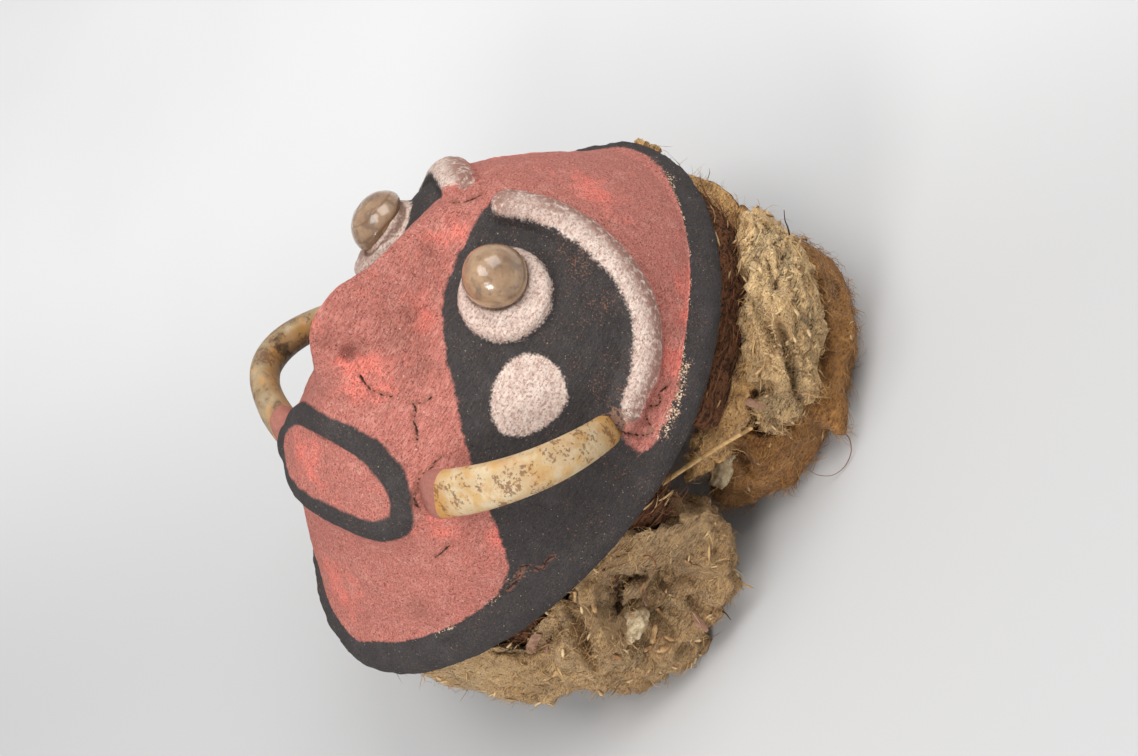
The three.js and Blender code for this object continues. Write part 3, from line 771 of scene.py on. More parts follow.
def cobweb_felt(name, main, light, dark, shade_colour):
    """Matted cobweb felt: a velvety mat of fine threads with painted shade in its hollows and towards one side, so
    that its ridges stay paler.
    """
    f = Finish(name)
    threads = f.hairs(1.3, 0.47, 0.6)
    fine = f.hairs(0.7, 0.48, 1.9)
    tone = f.attribute("tone")
    colour = f.mix(f.clouds(22, 3).over(0.34, 0.66), main, light)
    colour = f.mix(f.clouds(9, 4).under(0.3, 0.5) * 0.75, colour, dark)
    # Painted shade in the creases, folds and dug hollows, from the hollow attribute, in the shade colour.
    hollow = (f.attribute("hollow") + (f.clouds(6, 3) - 0.5) * 0.5).over(0.1, 0.85)
    colour = f.mix(hollow * 0.9, colour, shade_colour)
    colour = f.mix(threads * 0.6, colour, light)
    colour = f.mix(fine * 0.45, colour, tuple(min(1, v * 1.5) for v in light))
    colour = f.mix(f.clouds(1.3, 4).under(0.32, 0.44) * 0.8, colour, shade_colour)
    # The tone attribute: painted shade towards one side in the picture, and each scrap's own darkness.
    colour = f.mix(tone * 0.7, colour, dark)
    height = f.clouds(3.4, 4) * 1.3 + threads * 0.5 + fine * 0.35 + f.clouds(0.9, 3) * 0.5
    return f.done(colour, 0.97, f.bump(height, 0.95), sheen_weight=0.15, sheen_roughness=0.5,
                  specular_ior_level=0.12)


def hair_finish(name, light, dark):
    """Single threads, each paler or darker than the next."""
    f = Finish(name)
    tone = f.attribute("tone")
    colour = f.mix(tone, dark, light)
    colour = f.mix(f.clouds(4).over(0.4, 0.7) * 0.4, colour, dark)
    return f.done(colour, 0.85, f.bump(f.clouds(1), 0.1), specular_ior_level=0.25)


def rust_fibre():
    """Coarse brown bark fibre, the colour of rust, darkened further with painted shade for the shadow under the rim.
    """
    f = Finish("rust_fibre")
    strands = f.hairs(2.4, 0.5, 0.2)
    # Both colours are darker than the fibre's own: painted shade for the shadow under the rim.
    colour = f.mix(f.clouds(10, 3).over(0.3, 0.7), srgb(46, 29, 21), srgb(86, 54, 35))
    colour = f.mix(strands * 0.55, colour, srgb(128, 84, 54))
    colour = f.mix(f.clouds(1.8, 3).under(0.36, 0.48) * 0.8, colour, srgb(30, 20, 16))
    height = f.clouds(2.2, 4) + strands * 0.6
    return f.done(colour, 0.93, f.bump(height, 1.1), specular_ior_level=0.2)


def split_cane():
    """A split of cane with long grain."""
    f = Finish("split_cane")
    direction = np.array(CANE_TO) - np.array(CANE_FROM)
    heading = math.atan2(direction[1], direction[0])
    grain = f.clouds(1.2, 3, f.turned((0, 0, -heading), (0.05, 1, 1)))
    colour = f.mix(grain.over(0.35, 0.65), colour_of("cane"), srgb(196, 160, 106))
    colour = f.mix(f.clouds(8, 2).under(0.35, 0.5) * 0.6, colour, srgb(96, 66, 38))
    return f.done(colour, 0.6, f.bump(grain, 0.25), specular_ior_level=0.4)


def litter_finish(name, main, other):
    """Dry plant crumbs, chips and leaf skins caught in the felt."""
    f = Finish(name)
    colour = f.mix(f.clouds(3, 3).over(0.35, 0.65), main, other)
    colour = f.mix(f.clouds(0.8, 3).under(0.34, 0.44) * 0.7, colour, tuple(v * 0.3 for v in main))
    return f.done(colour, 0.75, f.bump(f.clouds(1, 3), 0.25), specular_ior_level=0.35)


def pale_sheet():
    """The pale grey sheet under the mask, with painted light and shade across it, faint smudges and dust."""
    f = Finish("pale_sheet")
    axes = f.node("ShaderNodeSeparateXYZ", None, {0: f.where})
    # Painted light towards the sheet's minus x, plus y side and painted shade away from it, for the lamps' falloff.
    painted_lamp_falloff = (Sum(f, axes.outputs["X"]) * -0.55 + Sum(f, axes.outputs["Y"]) * 0.6).over(0, 0.3)
    colour = f.mix(painted_lamp_falloff, tuple(v * SHEET_PAINTED_SHADE for v in colour_of("sheet")),
        tuple(v * SHEET_PAINTED_LIGHT for v in colour_of("sheet")))
    colour = f.mix(f.clouds(420, 3).over(0.3, 0.7) * 0.2, colour, tuple(v * SHEET_CLOUDED for v in colour_of("sheet")))
    specks = f.clouds(5, 2).over(0.79, 0.82) * f.clouds(160, 1).over(0.5, 0.7)
    colour = f.mix(specks * 0.3, colour, srgb(120, 112, 104))
    return f.done(colour, 0.75, f.bump(f.clouds(60, 2), 0.2), specular_ior_level=0.2)


class MaskColours(bpy.types.PropertyGroup):
    """Colours that can be changed without touching a material."""

    def tint(label, red, green, blue):
        words = f"Main colour of the {label}"
        return bpy.props.FloatVectorProperty(
            name=label.capitalize(), description=words, subtype="COLOR", min=0, max=1,
            default=srgb(red, green, blue))

    red: tint("red paint", 182, 110, 98)
    coral: tint("brighter red paint", 230, 122, 107)
    black: tint("black paint", 58, 54, 53)
    white: tint("white paint", 221, 200, 186)
    shell: tint("eye shells", 142, 112, 86)
    ivory: tint("tusks", 212, 178, 132)
    tan_felt: tint("tan felt", 202, 158, 106)
    brown_felt: tint("brown felt", 132, 84, 42)
    cane: tint("cane", 176, 136, 86)
    sheet: tint("sheet under the mask", 206, 205, 204)


class MaskSizes(bpy.types.PropertyGroup):
    """Sizes of the finer shapes, in metres."""

    def length(label, words, metres_default):
        return bpy.props.FloatProperty(
            name=label, description=words, subtype="DISTANCE", unit="LENGTH", min=0, soft_max=0.02,
            default=metres_default, precision=4)

    paste_lumps: length("Paste lumps", "Height of the hand-modelled lumps of the face", 0.0009)
    crack_depth: length("Crack depth", "Depth of the cracks in the paste", CRACK_DEPTH / 1000)
    felt_cell: length("Felt cell", "Width of one cell of the felt's mesh", 0.0014)
    hair_length: length("Thread length", "Length of a loose thread of the felt", 0.009)
    hair_share: bpy.props.FloatProperty(
        name="Thread share", description="Share of the loose threads that are made", subtype="FACTOR",
        min=0, max=1, default=1)


def face_rings(around, outer, inner):
    """Rings of the face from its middle over the dome and the hoop, and back in along the hollow."""
    angle = np.arange(around) * 2 * math.pi / around
    middle_y = -4

    def spread(inset, share):
        x, y = outline(angle, inset)
        return x * share, middle_y + (y - middle_y) * share

    dome, normals, fades = [], [], []
    for i in range(1, outer + 1):
        share = 0.008 if i == 1 else math.sin((i - 0.6) / (outer - 0.6) * math.pi / 2)
        x, y = spread(HOOP_WIDTH, share)
        ring = on_face(x, y)
        filled = RIM_HEIGHT + HOOP_ROLL[0][1] * HOOP_THICKNESS + RIM_FILL * (1 - share) * RIM_WIDTH / 2
        gap = np.maximum(filled - ring[:, 2], 0)
        ring[:, 2] += gap
        dome.append(ring)
        normals.append(normal_on_face(x * 0.999, y * 0.999))
        fades.append(np.full(around, 1 - 0.7 * float(smoothstep(share, 0.97, 1))))
    hoop = []
    for row in np.linspace(0, len(HOOP_ROLL) - 1, 13)[1:]:
        places = np.arange(len(HOOP_ROLL))
        out, up = (np.interp(row, places, [r[k] for r in HOOP_ROLL]) for k in (0, 1))
        x, y = outline(angle, HOOP_WIDTH * (1 - out))
        hoop.append(np.stack([x, y, np.full(around, RIM_HEIGHT + up * HOOP_THICKNESS)], -1))
    hollow = []
    inset = HOOP_WIDTH + WALL
    for i in range(inner, -1, -1):
        x, y = spread(inset, math.sin(max(i, 0.06) / inner * math.pi / 2))
        z = RIM_HEIGHT + dome_height(x, y, inset, DOME_DEPTH + DOME_FOOT - WALL, HOLLOW_NOSE)
        hollow.append(np.stack([x, y, z], -1))
    return dome, np.vstack(normals), np.concatenate(fades), hoop, hollow


def paste_around_tusks(base):
    """Paste that was pressed up around each end of the tusks."""
    rise = np.zeros(len(base))
    for tusk in TUSKS.values():
        for (x, y), reach in ((tusk["root"], 9.5), (tusk["tip"], 7)):
            gap = np.linalg.norm(base - on_face(tusk["side"] * x, y), axis=1)
            rise = np.maximum(rise, 2.6 * np.exp(-(((gap - reach) / 3.4) ** 2)))
    return rise


class MASK_OT_face(bpy.types.Operator):
    """Model the paste face with its relief, cracks and paint"""

    bl_idname = "mask.face"
    bl_label = "Paste face"

    def execute(self, context):
        sizes = context.scene.mask_sizes
        around, outer, inner = 560, 124, 26
        dome, normals, fades, hoop, hollow = face_rings(around, outer, inner)
        base = np.vstack(dome)
        unfilled = on_face(*base[:, :2].T)
        lumps = sizes.paste_lumps * 1000
        crack = np.full(len(base), 99.0)
        for line in CRACKS:
            crack = np.minimum(crack, gap_to_line(unfilled, on_face(*rounded(line, False, 1).T)))
        eye_gap = np.minimum(
            np.linalg.norm(base - on_face(EYE_PLACE[0] + SHELL_SHIFT[0], EYE_PLACE[1] + SHELL_SHIFT[1]),
                axis=1),
            np.linalg.norm(base - on_face(-EYE_PLACE[0] - SHELL_SHIFT[0], EYE_PLACE[1] + SHELL_SHIFT[1]),
                axis=1))
        rise = relief(base) + paste_around_tusks(base)
        rise += lumps * (0.9 * uneven(base, 26, 1) + 0.45 * uneven(base, 9, 2) + 0.28 * uneven(base, 3.6, 3))
        rise -= sizes.crack_depth * 1000 * np.exp(-((crack / CRACK_HALF_WIDTH) ** 2))
        rise -= 0.8 * np.exp(-(((eye_gap - SHELL_FOOT) / 1.2) ** 2))
        surface = base + normals * (rise * fades)[:, None]
        hoop = np.vstack(hoop)
        outwards = unit(hoop * np.array([1, 1, 0]) - np.array([0, WIDEST_Y, 0]) * np.array([1, 1, 0]))
        hoop_lumps = 1.5 * uneven(hoop, 24, 4) + 0.9 * uneven(hoop, 8, 5) + 0.4 * uneven(hoop, 3, 7)
        hoop = hoop + outwards * hoop_lumps[:, None] * 0.7 + np.array([0, 0, 1]) * hoop_lumps[:, None] * 0.4
        hollow = np.vstack(hollow)
        hollow = hollow + np.array([0, 0, 1]) * (0.7 * uneven(hollow, 14, 6))[:, None]
        body = np.vstack([surface, hoop, hollow])
        rings = len(body) // around
        points = np.vstack([body, body[:around].mean(0)[None], body[-around:].mean(0)[None]])
        faces = ring_faces(rings, around)
        row = np.repeat(np.arange(rings - 1), around)
        back = outer + len(hoop) // around - 1
        second = np.concatenate([row >= back, np.zeros(around), np.ones(around)])

        plain = np.vstack([unfilled, on_face(*hoop[:, :2].T), hollow, base[:1], hollow[-1:]])
        spots = [edge_distance(plain, CHEEK_SPOT), edge_distance(mirrored(plain), CHEEK_SPOT)]
        white = np.maximum(*spots)
        for x, y, radius in DISCS:
            white = np.maximum(white, radius - np.linalg.norm(plain - on_face(x, y), axis=1))
        dull = patches(plain, DULL_WHITE)
        for brow, flip in ((LEFT_BROW, plain), (RIGHT_BROW, mirrored(plain))):
            for share in np.linspace(0, 1, 60):
                centre = on_face(through(brow, share, 1), through(brow, share, 2))
                reach = float(through(BROW_PAINT, share))
                painted = reach - np.linalg.norm(flip - centre, axis=1)
                white = np.maximum(white, painted)
                outer = (flip - centre) @ unit(centre - EYE_CENTRE) / reach
                dull = np.where(painted > 0, np.maximum(dull, smoothstep(outer, -0.1, 0.65)), dull)
        ring = RING_HALF_WIDTH - np.minimum(gap_to_line(plain, MOUTH_LINE),
            gap_to_line(mirrored(plain), MOUTH_LINE))
        pad = len(plain) - len(base)
        attributes = {
            "red_edge": np.clip(edge_distance(plain, RED_LEFT + RED_RIGHT[1:]), -20, 20),
            "white_edge": np.clip(white, -20, 20),
            "ring_edge": np.clip(ring, -20, 20),
            "coral": patches(plain, CORAL_PATCHES),
            "smudge": patches(plain, SMUDGES_AND_NOSE_SHADE),
            "flaking": patches(plain, FLAKING),
            "bare": patches(plain, BARE_PLACES),
            "speckled": patches(plain, SPECKLED),
            "dull": dull,
            # painted shade in the nostril pits
            "nostril": patches(plain, NOSTRIL_SHADE),
            "crack": np.concatenate([np.minimum(crack, 20), np.full(pad, 20)]),
            # painted shade in the groove around each shell's foot
            "grime": np.concatenate([np.exp(-(((eye_gap - SHELL_FOOT) / 1.7) ** 2)), np.zeros(pad)]),
        }
        piece = mesh_object("paste_face", points, faces, painted_paste(), attributes, raw_paste(), second)
        place(piece, "painted_paste", "face")
        return {"FINISHED"}


class MASK_OT_eyes(bpy.types.Operator):
    """Turn the two sea snail shells and set them in their mounds"""

    bl_idname = "mask.eyes"
    bl_label = "Eye shells"

    def execute(self, context):
        gloss = snail_shell()
        around, up_steps = 96, 52
        x, y = EYE_PLACE[0] + SHELL_SHIFT[0], EYE_PLACE[1] + SHELL_SHIFT[1]
        axis = normal_on_face(x, y)
        foot = on_face(x, y) + axis * (MOUND_RISE - SHELL_SINK)
        turned = Vector((0, 0, 1)).rotation_difference(Vector(axis))
        profile = np.array(SHELL_PROFILE)
        length = np.concatenate([[0], np.cumsum(np.linalg.norm(np.diff(profile, axis=0), axis=1))])
        rows = [(a, *b) for a, b in zip(length, SHELL_PROFILE)]
        angle = np.arange(around) * 2 * math.pi / around
        for name, side, lines, wide, high in (
            ("left_eye_shell", 1, 0.15, 0.92, 0.92), ("right_eye_shell", -1, 1, 0.97, 0.74),
        ):
            rings, whorl, low = [], [], []
            for step in np.linspace(0.01, length[-1], up_steps):
                out, up = float(through(rows, step, 1)), float(through(rows, step, 2))
                spiral = angle / (2 * math.pi) + step / length[-1] * 2.2
                groove = np.exp(-(((spiral % 1 - 0.5) / 0.07) ** 2)) * smoothstep(out, 0.02,
                    0.3) * (1 - out) ** 0.5
                radius = SHELL_RADIUS * wide * out * (
                    1 + 0.035 * np.cos(angle - 0.6) + 0.02 * np.cos(2 * angle) + 0.012 * np.cos(4 * angle + 1))
                height = (
                    SHELL_HEIGHT * high * up - 0.6 * lines * groove
                    + 0.5 * np.cos(angle - 0.6) * (1 - up) * out)
                rings.append(np.stack([radius * np.cos(angle), radius * np.sin(angle), height], -1))
                whorl.append(spiral + 0.15 * angle)
                # foot: painted shade, strongest at the base of the shell.
                low.append(np.full(around, 1 - float(smoothstep(up, 0.02, 0.3))))
            points, faces = ringed(rings)
            matrix = np.array(turned.to_matrix())
            points = (points @ matrix.T + foot) * np.array([side, 1, 1])
            if side < 0:
                step = on_face(-x + RIGHT_SHELL_MOVE[0], y + RIGHT_SHELL_MOVE[1]) - on_face(-x, y)
                points += step
            attributes = {
                "whorl": np.concatenate([*whorl, [0], [0]]),
                "foot": np.concatenate([*low, [0], [1]]),
                "lines": np.full(len(points), lines),
            }
            place(mesh_object(name + "_gloss", points, faces, gloss, attributes), "snail_shell", name)
        return {"FINISHED"}


def tusk_line(root, tip, bulge, sag, steps):
    """Centres, tangents and outward directions along a tusk, and its share of length at each."""
    start = on_face(*root)
    chord = on_face(*tip) - start
    away = unit(normal_on_face(*root) + normal_on_face(*tip)) + np.array([0, -sag, 0])
    away = unit(away - chord * (away @ chord) / (chord @ chord))
    share = np.linspace(0, 1, steps)[:, None]
    centres = start + chord * share + away * 4 * bulge * share * (1 - share)
    tangents = unit(chord + away * 4 * bulge * (1 - 2 * share))
    outward = unit(away - tangents * (tangents @ away)[:, None])
    return centres, tangents, outward, share[:, 0]


class MASK_OT_tusks(bpy.types.Operator):
    """Sweep the two boar's tusks from the mouth's corners to the cheeks"""

    bl_idname = "mask.tusks"
    bl_label = "Tusks"

    def execute(self, context):
        finish = ivory()
        around, steps = 56, 120
        angle = np.arange(around) * 2 * math.pi / around
        for name, tusk in TUSKS.items():
            centres, tangents, outward, share = tusk_line(tusk["root"], tusk["tip"], tusk["bulge"], tusk["sag"], steps)
            centres[0] -= tangents[0] * TUSK_BURIED
            centres[-1] += tangents[-1] * TUSK_BURIED
            rings, along, laps = [], [], []
            for centre, tangent, out, s in zip(centres, tangents, outward, share):
                across = np.cross(tangent, out)
                size = 1 + (TUSK_TIP_SHARE - 1) * s**1.4
                lap = smoothstep(LAP_REACH + LAP_SLANT * np.cos(angle) - s, 0, 0.014)
                size = size * (1 + 0.05 * lap)
                ribs = (
                    1 + 0.012 * np.cos(5 * angle + 2) + 0.008 * np.cos(11 * angle + 5 * s)
                    + 0.01 * math.sin(9 * s + 1))
                flat = 1 - 0.1 * np.exp(-(((angle - math.pi / 2) / 0.5) ** 2))
                wide = TUSK_WIDTH / 2 * size * ribs * np.cos(angle)
                thick = tusk["thickness"] / 2 * size * ribs * flat * np.sin(angle)
                rings.append(centre + wide[:, None] * across + thick[:, None] * out)
                along.append(np.full(around, s))
                laps.append(lap)
            points, faces = ringed(rings)
            share_all = np.concatenate([*along, [0], [1]])
            around_all = np.concatenate([np.tile(angle, steps), [0], [0]])
            stains = np.exp(-(((share_all - 0.58) / 0.1) ** 2)) * (np.sin(around_all) < -0.2) * tusk["age"]
            ends = np.maximum(np.exp(-((share_all / 0.07) ** 2)), np.exp(-(((1 - share_all) / 0.06) ** 2)))
            attributes = {
                "along": share_all * 95,
                "around": np.abs(around_all - math.pi) * 9,
                "age": np.full(len(points), tusk["age"]),
                "lapped": np.concatenate([*laps, [1], [0]]),
                "outside": smoothstep(np.sin(around_all), -0.75, -0.2),
                "root": np.maximum(np.exp(-((share_all / 0.12) ** 2)),
                    0.8 * np.exp(-(((1 - share_all) / 0.1) ** 2))),
                "stain": stains + 0.4 * ends * (tusk["age"] > 0.5),
            }
            points = points * np.array([tusk["side"], 1, 1])
            place(mesh_object(name + "_ivory", points, faces, finish, attributes), "ivory", name)
        return {"FINISHED"}


def strand_object(name, rows, corners, wide, thin, bend):
    """One strand 1 m long along Z, bent, and pointed at both ends. The thread tree scales it down."""
    points, faces, starts = [], [], []
    for height, width in rows:
        centre = (bend * height * (1 - height) * 4, 0.35 * bend * height**2, height)
        starts.append(len(points))
        for k in range(corners if width else 1):
            a = 2 * math.pi * k / corners
            points.append((
                centre[0] + thin * width * math.cos(a), centre[1] + wide * width * math.sin(a), centre[2]))
    last = len(rows) - 1
    for k in range(corners):
        j = (k + 1) % corners
        faces.append((0, starts[1] + j, starts[1] + k))
        for low, high in zip(starts[1:last - 1], starts[2:last]):
            faces.append((low + k, low + j, high + j, high + k))
        faces.append((starts[last], starts[last - 1] + k, starts[last - 1] + j))
    mesh = bpy.data.meshes.new(name)
    mesh.from_pydata(points, [], faces)
    mesh.shade_smooth()
    return link(bpy.data.objects.new(name, mesh))


THREAD = dict(rows=[(0, 0), (0.22, 1), (0.6, 0.9), (1, 0)], corners=3, wide=0.012, thin=0.012, bend=0.22)
CURL = dict(rows=[(0, 0), (0.12, 1), (0.5, 0.9), (0.85, 0.8), (1, 0)], corners=3, wide=0.013, thin=0.013,
    bend=0.4)
FLAKE = dict(rows=[(0, 0), (0.15, 0.8), (0.6, 1), (1, 0)], corners=4, wide=0.2, thin=0.035, bend=0.1)
SHRED = dict(rows=[(0, 0), (0.1, 0.7), (0.4, 1), (0.75, 0.8), (1, 0)], corners=4, wide=0.07, thin=0.014,
    bend=0.14)


def thread_tree():
    """Geometry Nodes that scatter loose threads over a mesh, lying along its flow attribute."""
    tree = bpy.data.node_groups.new("loose_threads", "GeometryNodeTree")
    face_in = {}
    for label, kind in (
        ("Geometry", "NodeSocketGeometry"), ("Thread", "NodeSocketObject"), ("Density", "NodeSocketFloat"),
        ("Shortest", "NodeSocketFloat"), ("Longest", "NodeSocketFloat"), ("Tumble", "NodeSocketFloat"),
        ("Seed", "NodeSocketInt"), ("Finish", "NodeSocketMaterial"),
    ):
        face_in[label] = tree.interface.new_socket(label, in_out="INPUT", socket_type=kind).identifier
    tree.interface.new_socket("Geometry", in_out="OUTPUT", socket_type="NodeSocketGeometry")
    nodes, links = tree.nodes, tree.links

    def node(kind, settings=None, sockets=None):
        made = nodes.new(kind)
        for label, value in (settings or {}).items():
            setattr(made, label, value)
        for label, value in (sockets or {}).items():
            if isinstance(value, bpy.types.NodeSocket):
                links.new(value, made.inputs[label])
            else:
                made.inputs[label].default_value = value
        return made

    given = node("NodeGroupInput").outputs
    cover = node("GeometryNodeInputNamedAttribute", {"data_type": "FLOAT"}, {"Name": "cover"})
    thinned = node("ShaderNodeMath", {"operation": "MULTIPLY"},
        {0: given["Density"], 1: cover.outputs["Attribute"]})
    scatter = node("GeometryNodeDistributePointsOnFaces", None, {
        "Mesh": given["Geometry"], "Density": thinned.outputs[0], "Seed": given["Seed"]})
    flow = node("GeometryNodeInputNamedAttribute", {"data_type": "FLOAT_VECTOR"}, {"Name": "flow"})
    lying = node("FunctionNodeAlignRotationToVector", {"axis": "Z"}, {"Vector": flow.outputs["Attribute"]})
    back = node("ShaderNodeMath", {"operation": "MULTIPLY"}, {0: given["Tumble"], 1: -1})
    low = node("ShaderNodeCombineXYZ", None, {"X": back.outputs[0], "Y": back.outputs[0], "Z": -3.14})
    high = node("ShaderNodeCombineXYZ", None, {"X": given["Tumble"], "Y": given["Tumble"], "Z": 3.14})
    tumble = node("FunctionNodeRandomValue", {"data_type": "FLOAT_VECTOR"}, {
        0: low.outputs[0], 1: high.outputs[0], "Seed": given["Seed"]})
    turned = node("FunctionNodeRotateRotation", {"rotation_space": "LOCAL"}, {
        "Rotation": lying.outputs[0], "Rotate By": tumble.outputs[0]})
    length = node("FunctionNodeRandomValue", {"data_type": "FLOAT"}, {
        2: given["Shortest"], 3: given["Longest"], "Seed": given["Seed"]})
    thread = node("GeometryNodeObjectInfo", None, {"Object": given["Thread"]})
    copies = node("GeometryNodeInstanceOnPoints", None, {
        "Points": scatter.outputs["Points"], "Instance": thread.outputs["Geometry"],
        "Rotation": turned.outputs[0], "Scale": length.outputs[1]})
    pale = node("FunctionNodeRandomValue", {"data_type": "FLOAT"}, {2: 0.0, 3: 1.0, "Seed": given["Seed"]})
    toned = node("GeometryNodeStoreNamedAttribute", {"data_type": "FLOAT", "domain": "INSTANCE"}, {
        "Geometry": copies.outputs[0], "Name": "tone", "Value": pale.outputs[1]})
    real = node("GeometryNodeRealizeInstances", None, {"Geometry": toned.outputs[0]})
    finished = node("GeometryNodeSetMaterial", None,
        {"Geometry": real.outputs[0], "Material": given["Finish"]})
    node("NodeGroupOutput", None, {"Geometry": finished.outputs[0]})
    return tree, face_in


def threads_on(carrier, name, kind, count, length, tumble, finish, seed):
    """A new mesh of loose threads that lie over a carrier, worked out by the thread tree."""
    tree, sockets = thread_tree()
    thread = strand_object(name + "_one", **kind)
    piece = link(bpy.data.objects.new(name, carrier.data.copy()))
    area = sum(face.area for face in piece.data.polygons)
    modifier = piece.modifiers.new("loose threads", "NODES")
    modifier.node_group = tree
    share = bpy.context.scene.mask_sizes.hair_share
    values = {"Thread": thread, "Density": share * count / area, "Shortest": length * 0.45,
        "Longest": length * 1.3,
              "Tumble": tumble, "Seed": seed, "Finish": finish}
    for label, value in values.items():
        modifier[sockets[label]] = value
    made = baked(piece, name)
    bpy.data.objects.remove(thread)
    bpy.data.node_groups.remove(tree)
    points = read_points(made.data)
    points[:, 2] = np.where(points[:, 2] < 1, np.exp(points[:, 2] - 1), points[:, 2])
    write_points(made.data, points)
    return made


def collar_body(name, finish):
    """The C-shaped band of fibre behind the rim, rough all over."""
    steps, around = 300, 40
    start, stop = math.radians(COLLAR_GAP[1]), math.radians(360 + COLLAR_GAP[0])
    rings, flow = [], []
    corner_turn = np.arange(around) * 2 * math.pi / around
    for angle in np.linspace(start, stop, steps):
        chin = 1 - float(smoothstep(math.sin(angle), -0.97, -0.7))
        depth = COLLAR_DEPTH + (COLLAR_CHIN_DEPTH - COLLAR_DEPTH) * chin
        top = RIM_HEIGHT - FIT_GAP
        ends = min(1, (angle - start) / 0.05, (stop - angle) / 0.05)
        size = 0.55 + 0.45 * max(0, ends) ** 0.5
        square = (np.abs(np.cos(corner_turn)) ** 4 + np.abs(np.sin(corner_turn)) ** 4) ** -0.25
        across = COLLAR_WIDTH / 2 * size * square * np.cos(corner_turn)
        down = depth / 2 * size * square * np.sin(corner_turn)
        bulge = COLLAR_BULGE * math.exp(-(((angle - COLLAR_BULGE_AT) / COLLAR_BULGE_REACH) ** 2))
        spread = bulge * (np.cos(corner_turn) < -0.2)
        x, y = outline(angle, COLLAR_INSET + COLLAR_WIDTH / 2 + 2 * chin + across - spread)
        ring = np.stack([x, y, top - depth / 2 + np.minimum(down, depth / 2)], -1)
        rings.append(ring)
        ahead = np.array(outline(angle + 0.02, COLLAR_INSET)) - np.array(outline(angle - 0.02, COLLAR_INSET))
        flow.append(np.tile(unit([*ahead, -0.25]), (around, 1)))
    points, faces = ringed(rings)
    centre = np.repeat(np.array([r.mean(0) for r in rings]), around, 0)
    out = unit(points[:-2] - centre)
    rough = 1.5 * uneven(points[:-2], 12, 31, 3) + 0.8 * uneven(points[:-2] * np.array([1, 1, 2.5]), 4, 32)
    points[:-2] += out * (rough - 0.4)[:, None]
    points[:, 2] = np.minimum(points[:, 2], RIM_HEIGHT - 0.2)
    attributes = {"flow": np.vstack([*flow, flow[0][:1], flow[-1][:1]]), "cover": np.ones(len(points))}
    return mesh_object(name, points, faces, finish, attributes)


class MASK_OT_collar(bpy.types.Operator):
    """Make the band of coarse fibre behind the rim, with its loose strands"""

    bl_idname = "mask.collar"
    bl_label = "Fibre collar"

    def execute(self, context):
        band = collar_body("fibre_collar_band", rust_fibre())
        # The strands' colours are darkened the same way, painted shade for the shadow under the rim.
        strands = hair_finish("rust_strands", srgb(146, 98, 66), srgb(52, 32, 24))
        long = threads_on(band, "fibre_collar_strands", THREAD, 2600, 0.016, 0.4, strands, 11)
        curls = threads_on(band, "fibre_collar_curls", CURL, 1900, 0.008, 0.7, strands, 12)
        pale = hair_finish("pale_shreds", srgb(212, 178, 128), srgb(150, 112, 72))
        shreds = threads_on(band, "fibre_collar_shreds", SHRED, 320, 0.008, 0.4, pale, 13)
        place(band, "rust_fibre", "fibre_collar")
        for loose in (long, curls, shreds):
            place(loose, "rust_fibre")
        return {"FINISHED"}


def even_copy(name, node, cell):
    """A welded copy of a solid, remeshed in even cells and rounded off."""
    mesh = bpy.data.meshes.new(name)
    work = bmesh.new()
    work.from_mesh(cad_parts[node].data)
    bmesh.ops.remove_doubles(work, verts=work.verts[:], dist=1e-5)
    work.to_mesh(mesh)
    work.free()
    piece = link(bpy.data.objects.new(name, mesh))
    cells = piece.modifiers.new("even cells", "REMESH")
    cells.mode = "VOXEL"
    cells.voxel_size = cell
    ease = piece.modifiers.new("round off", "SMOOTH")
    ease.factor = 0.5
    ease.iterations = 14
    return baked(piece, name)


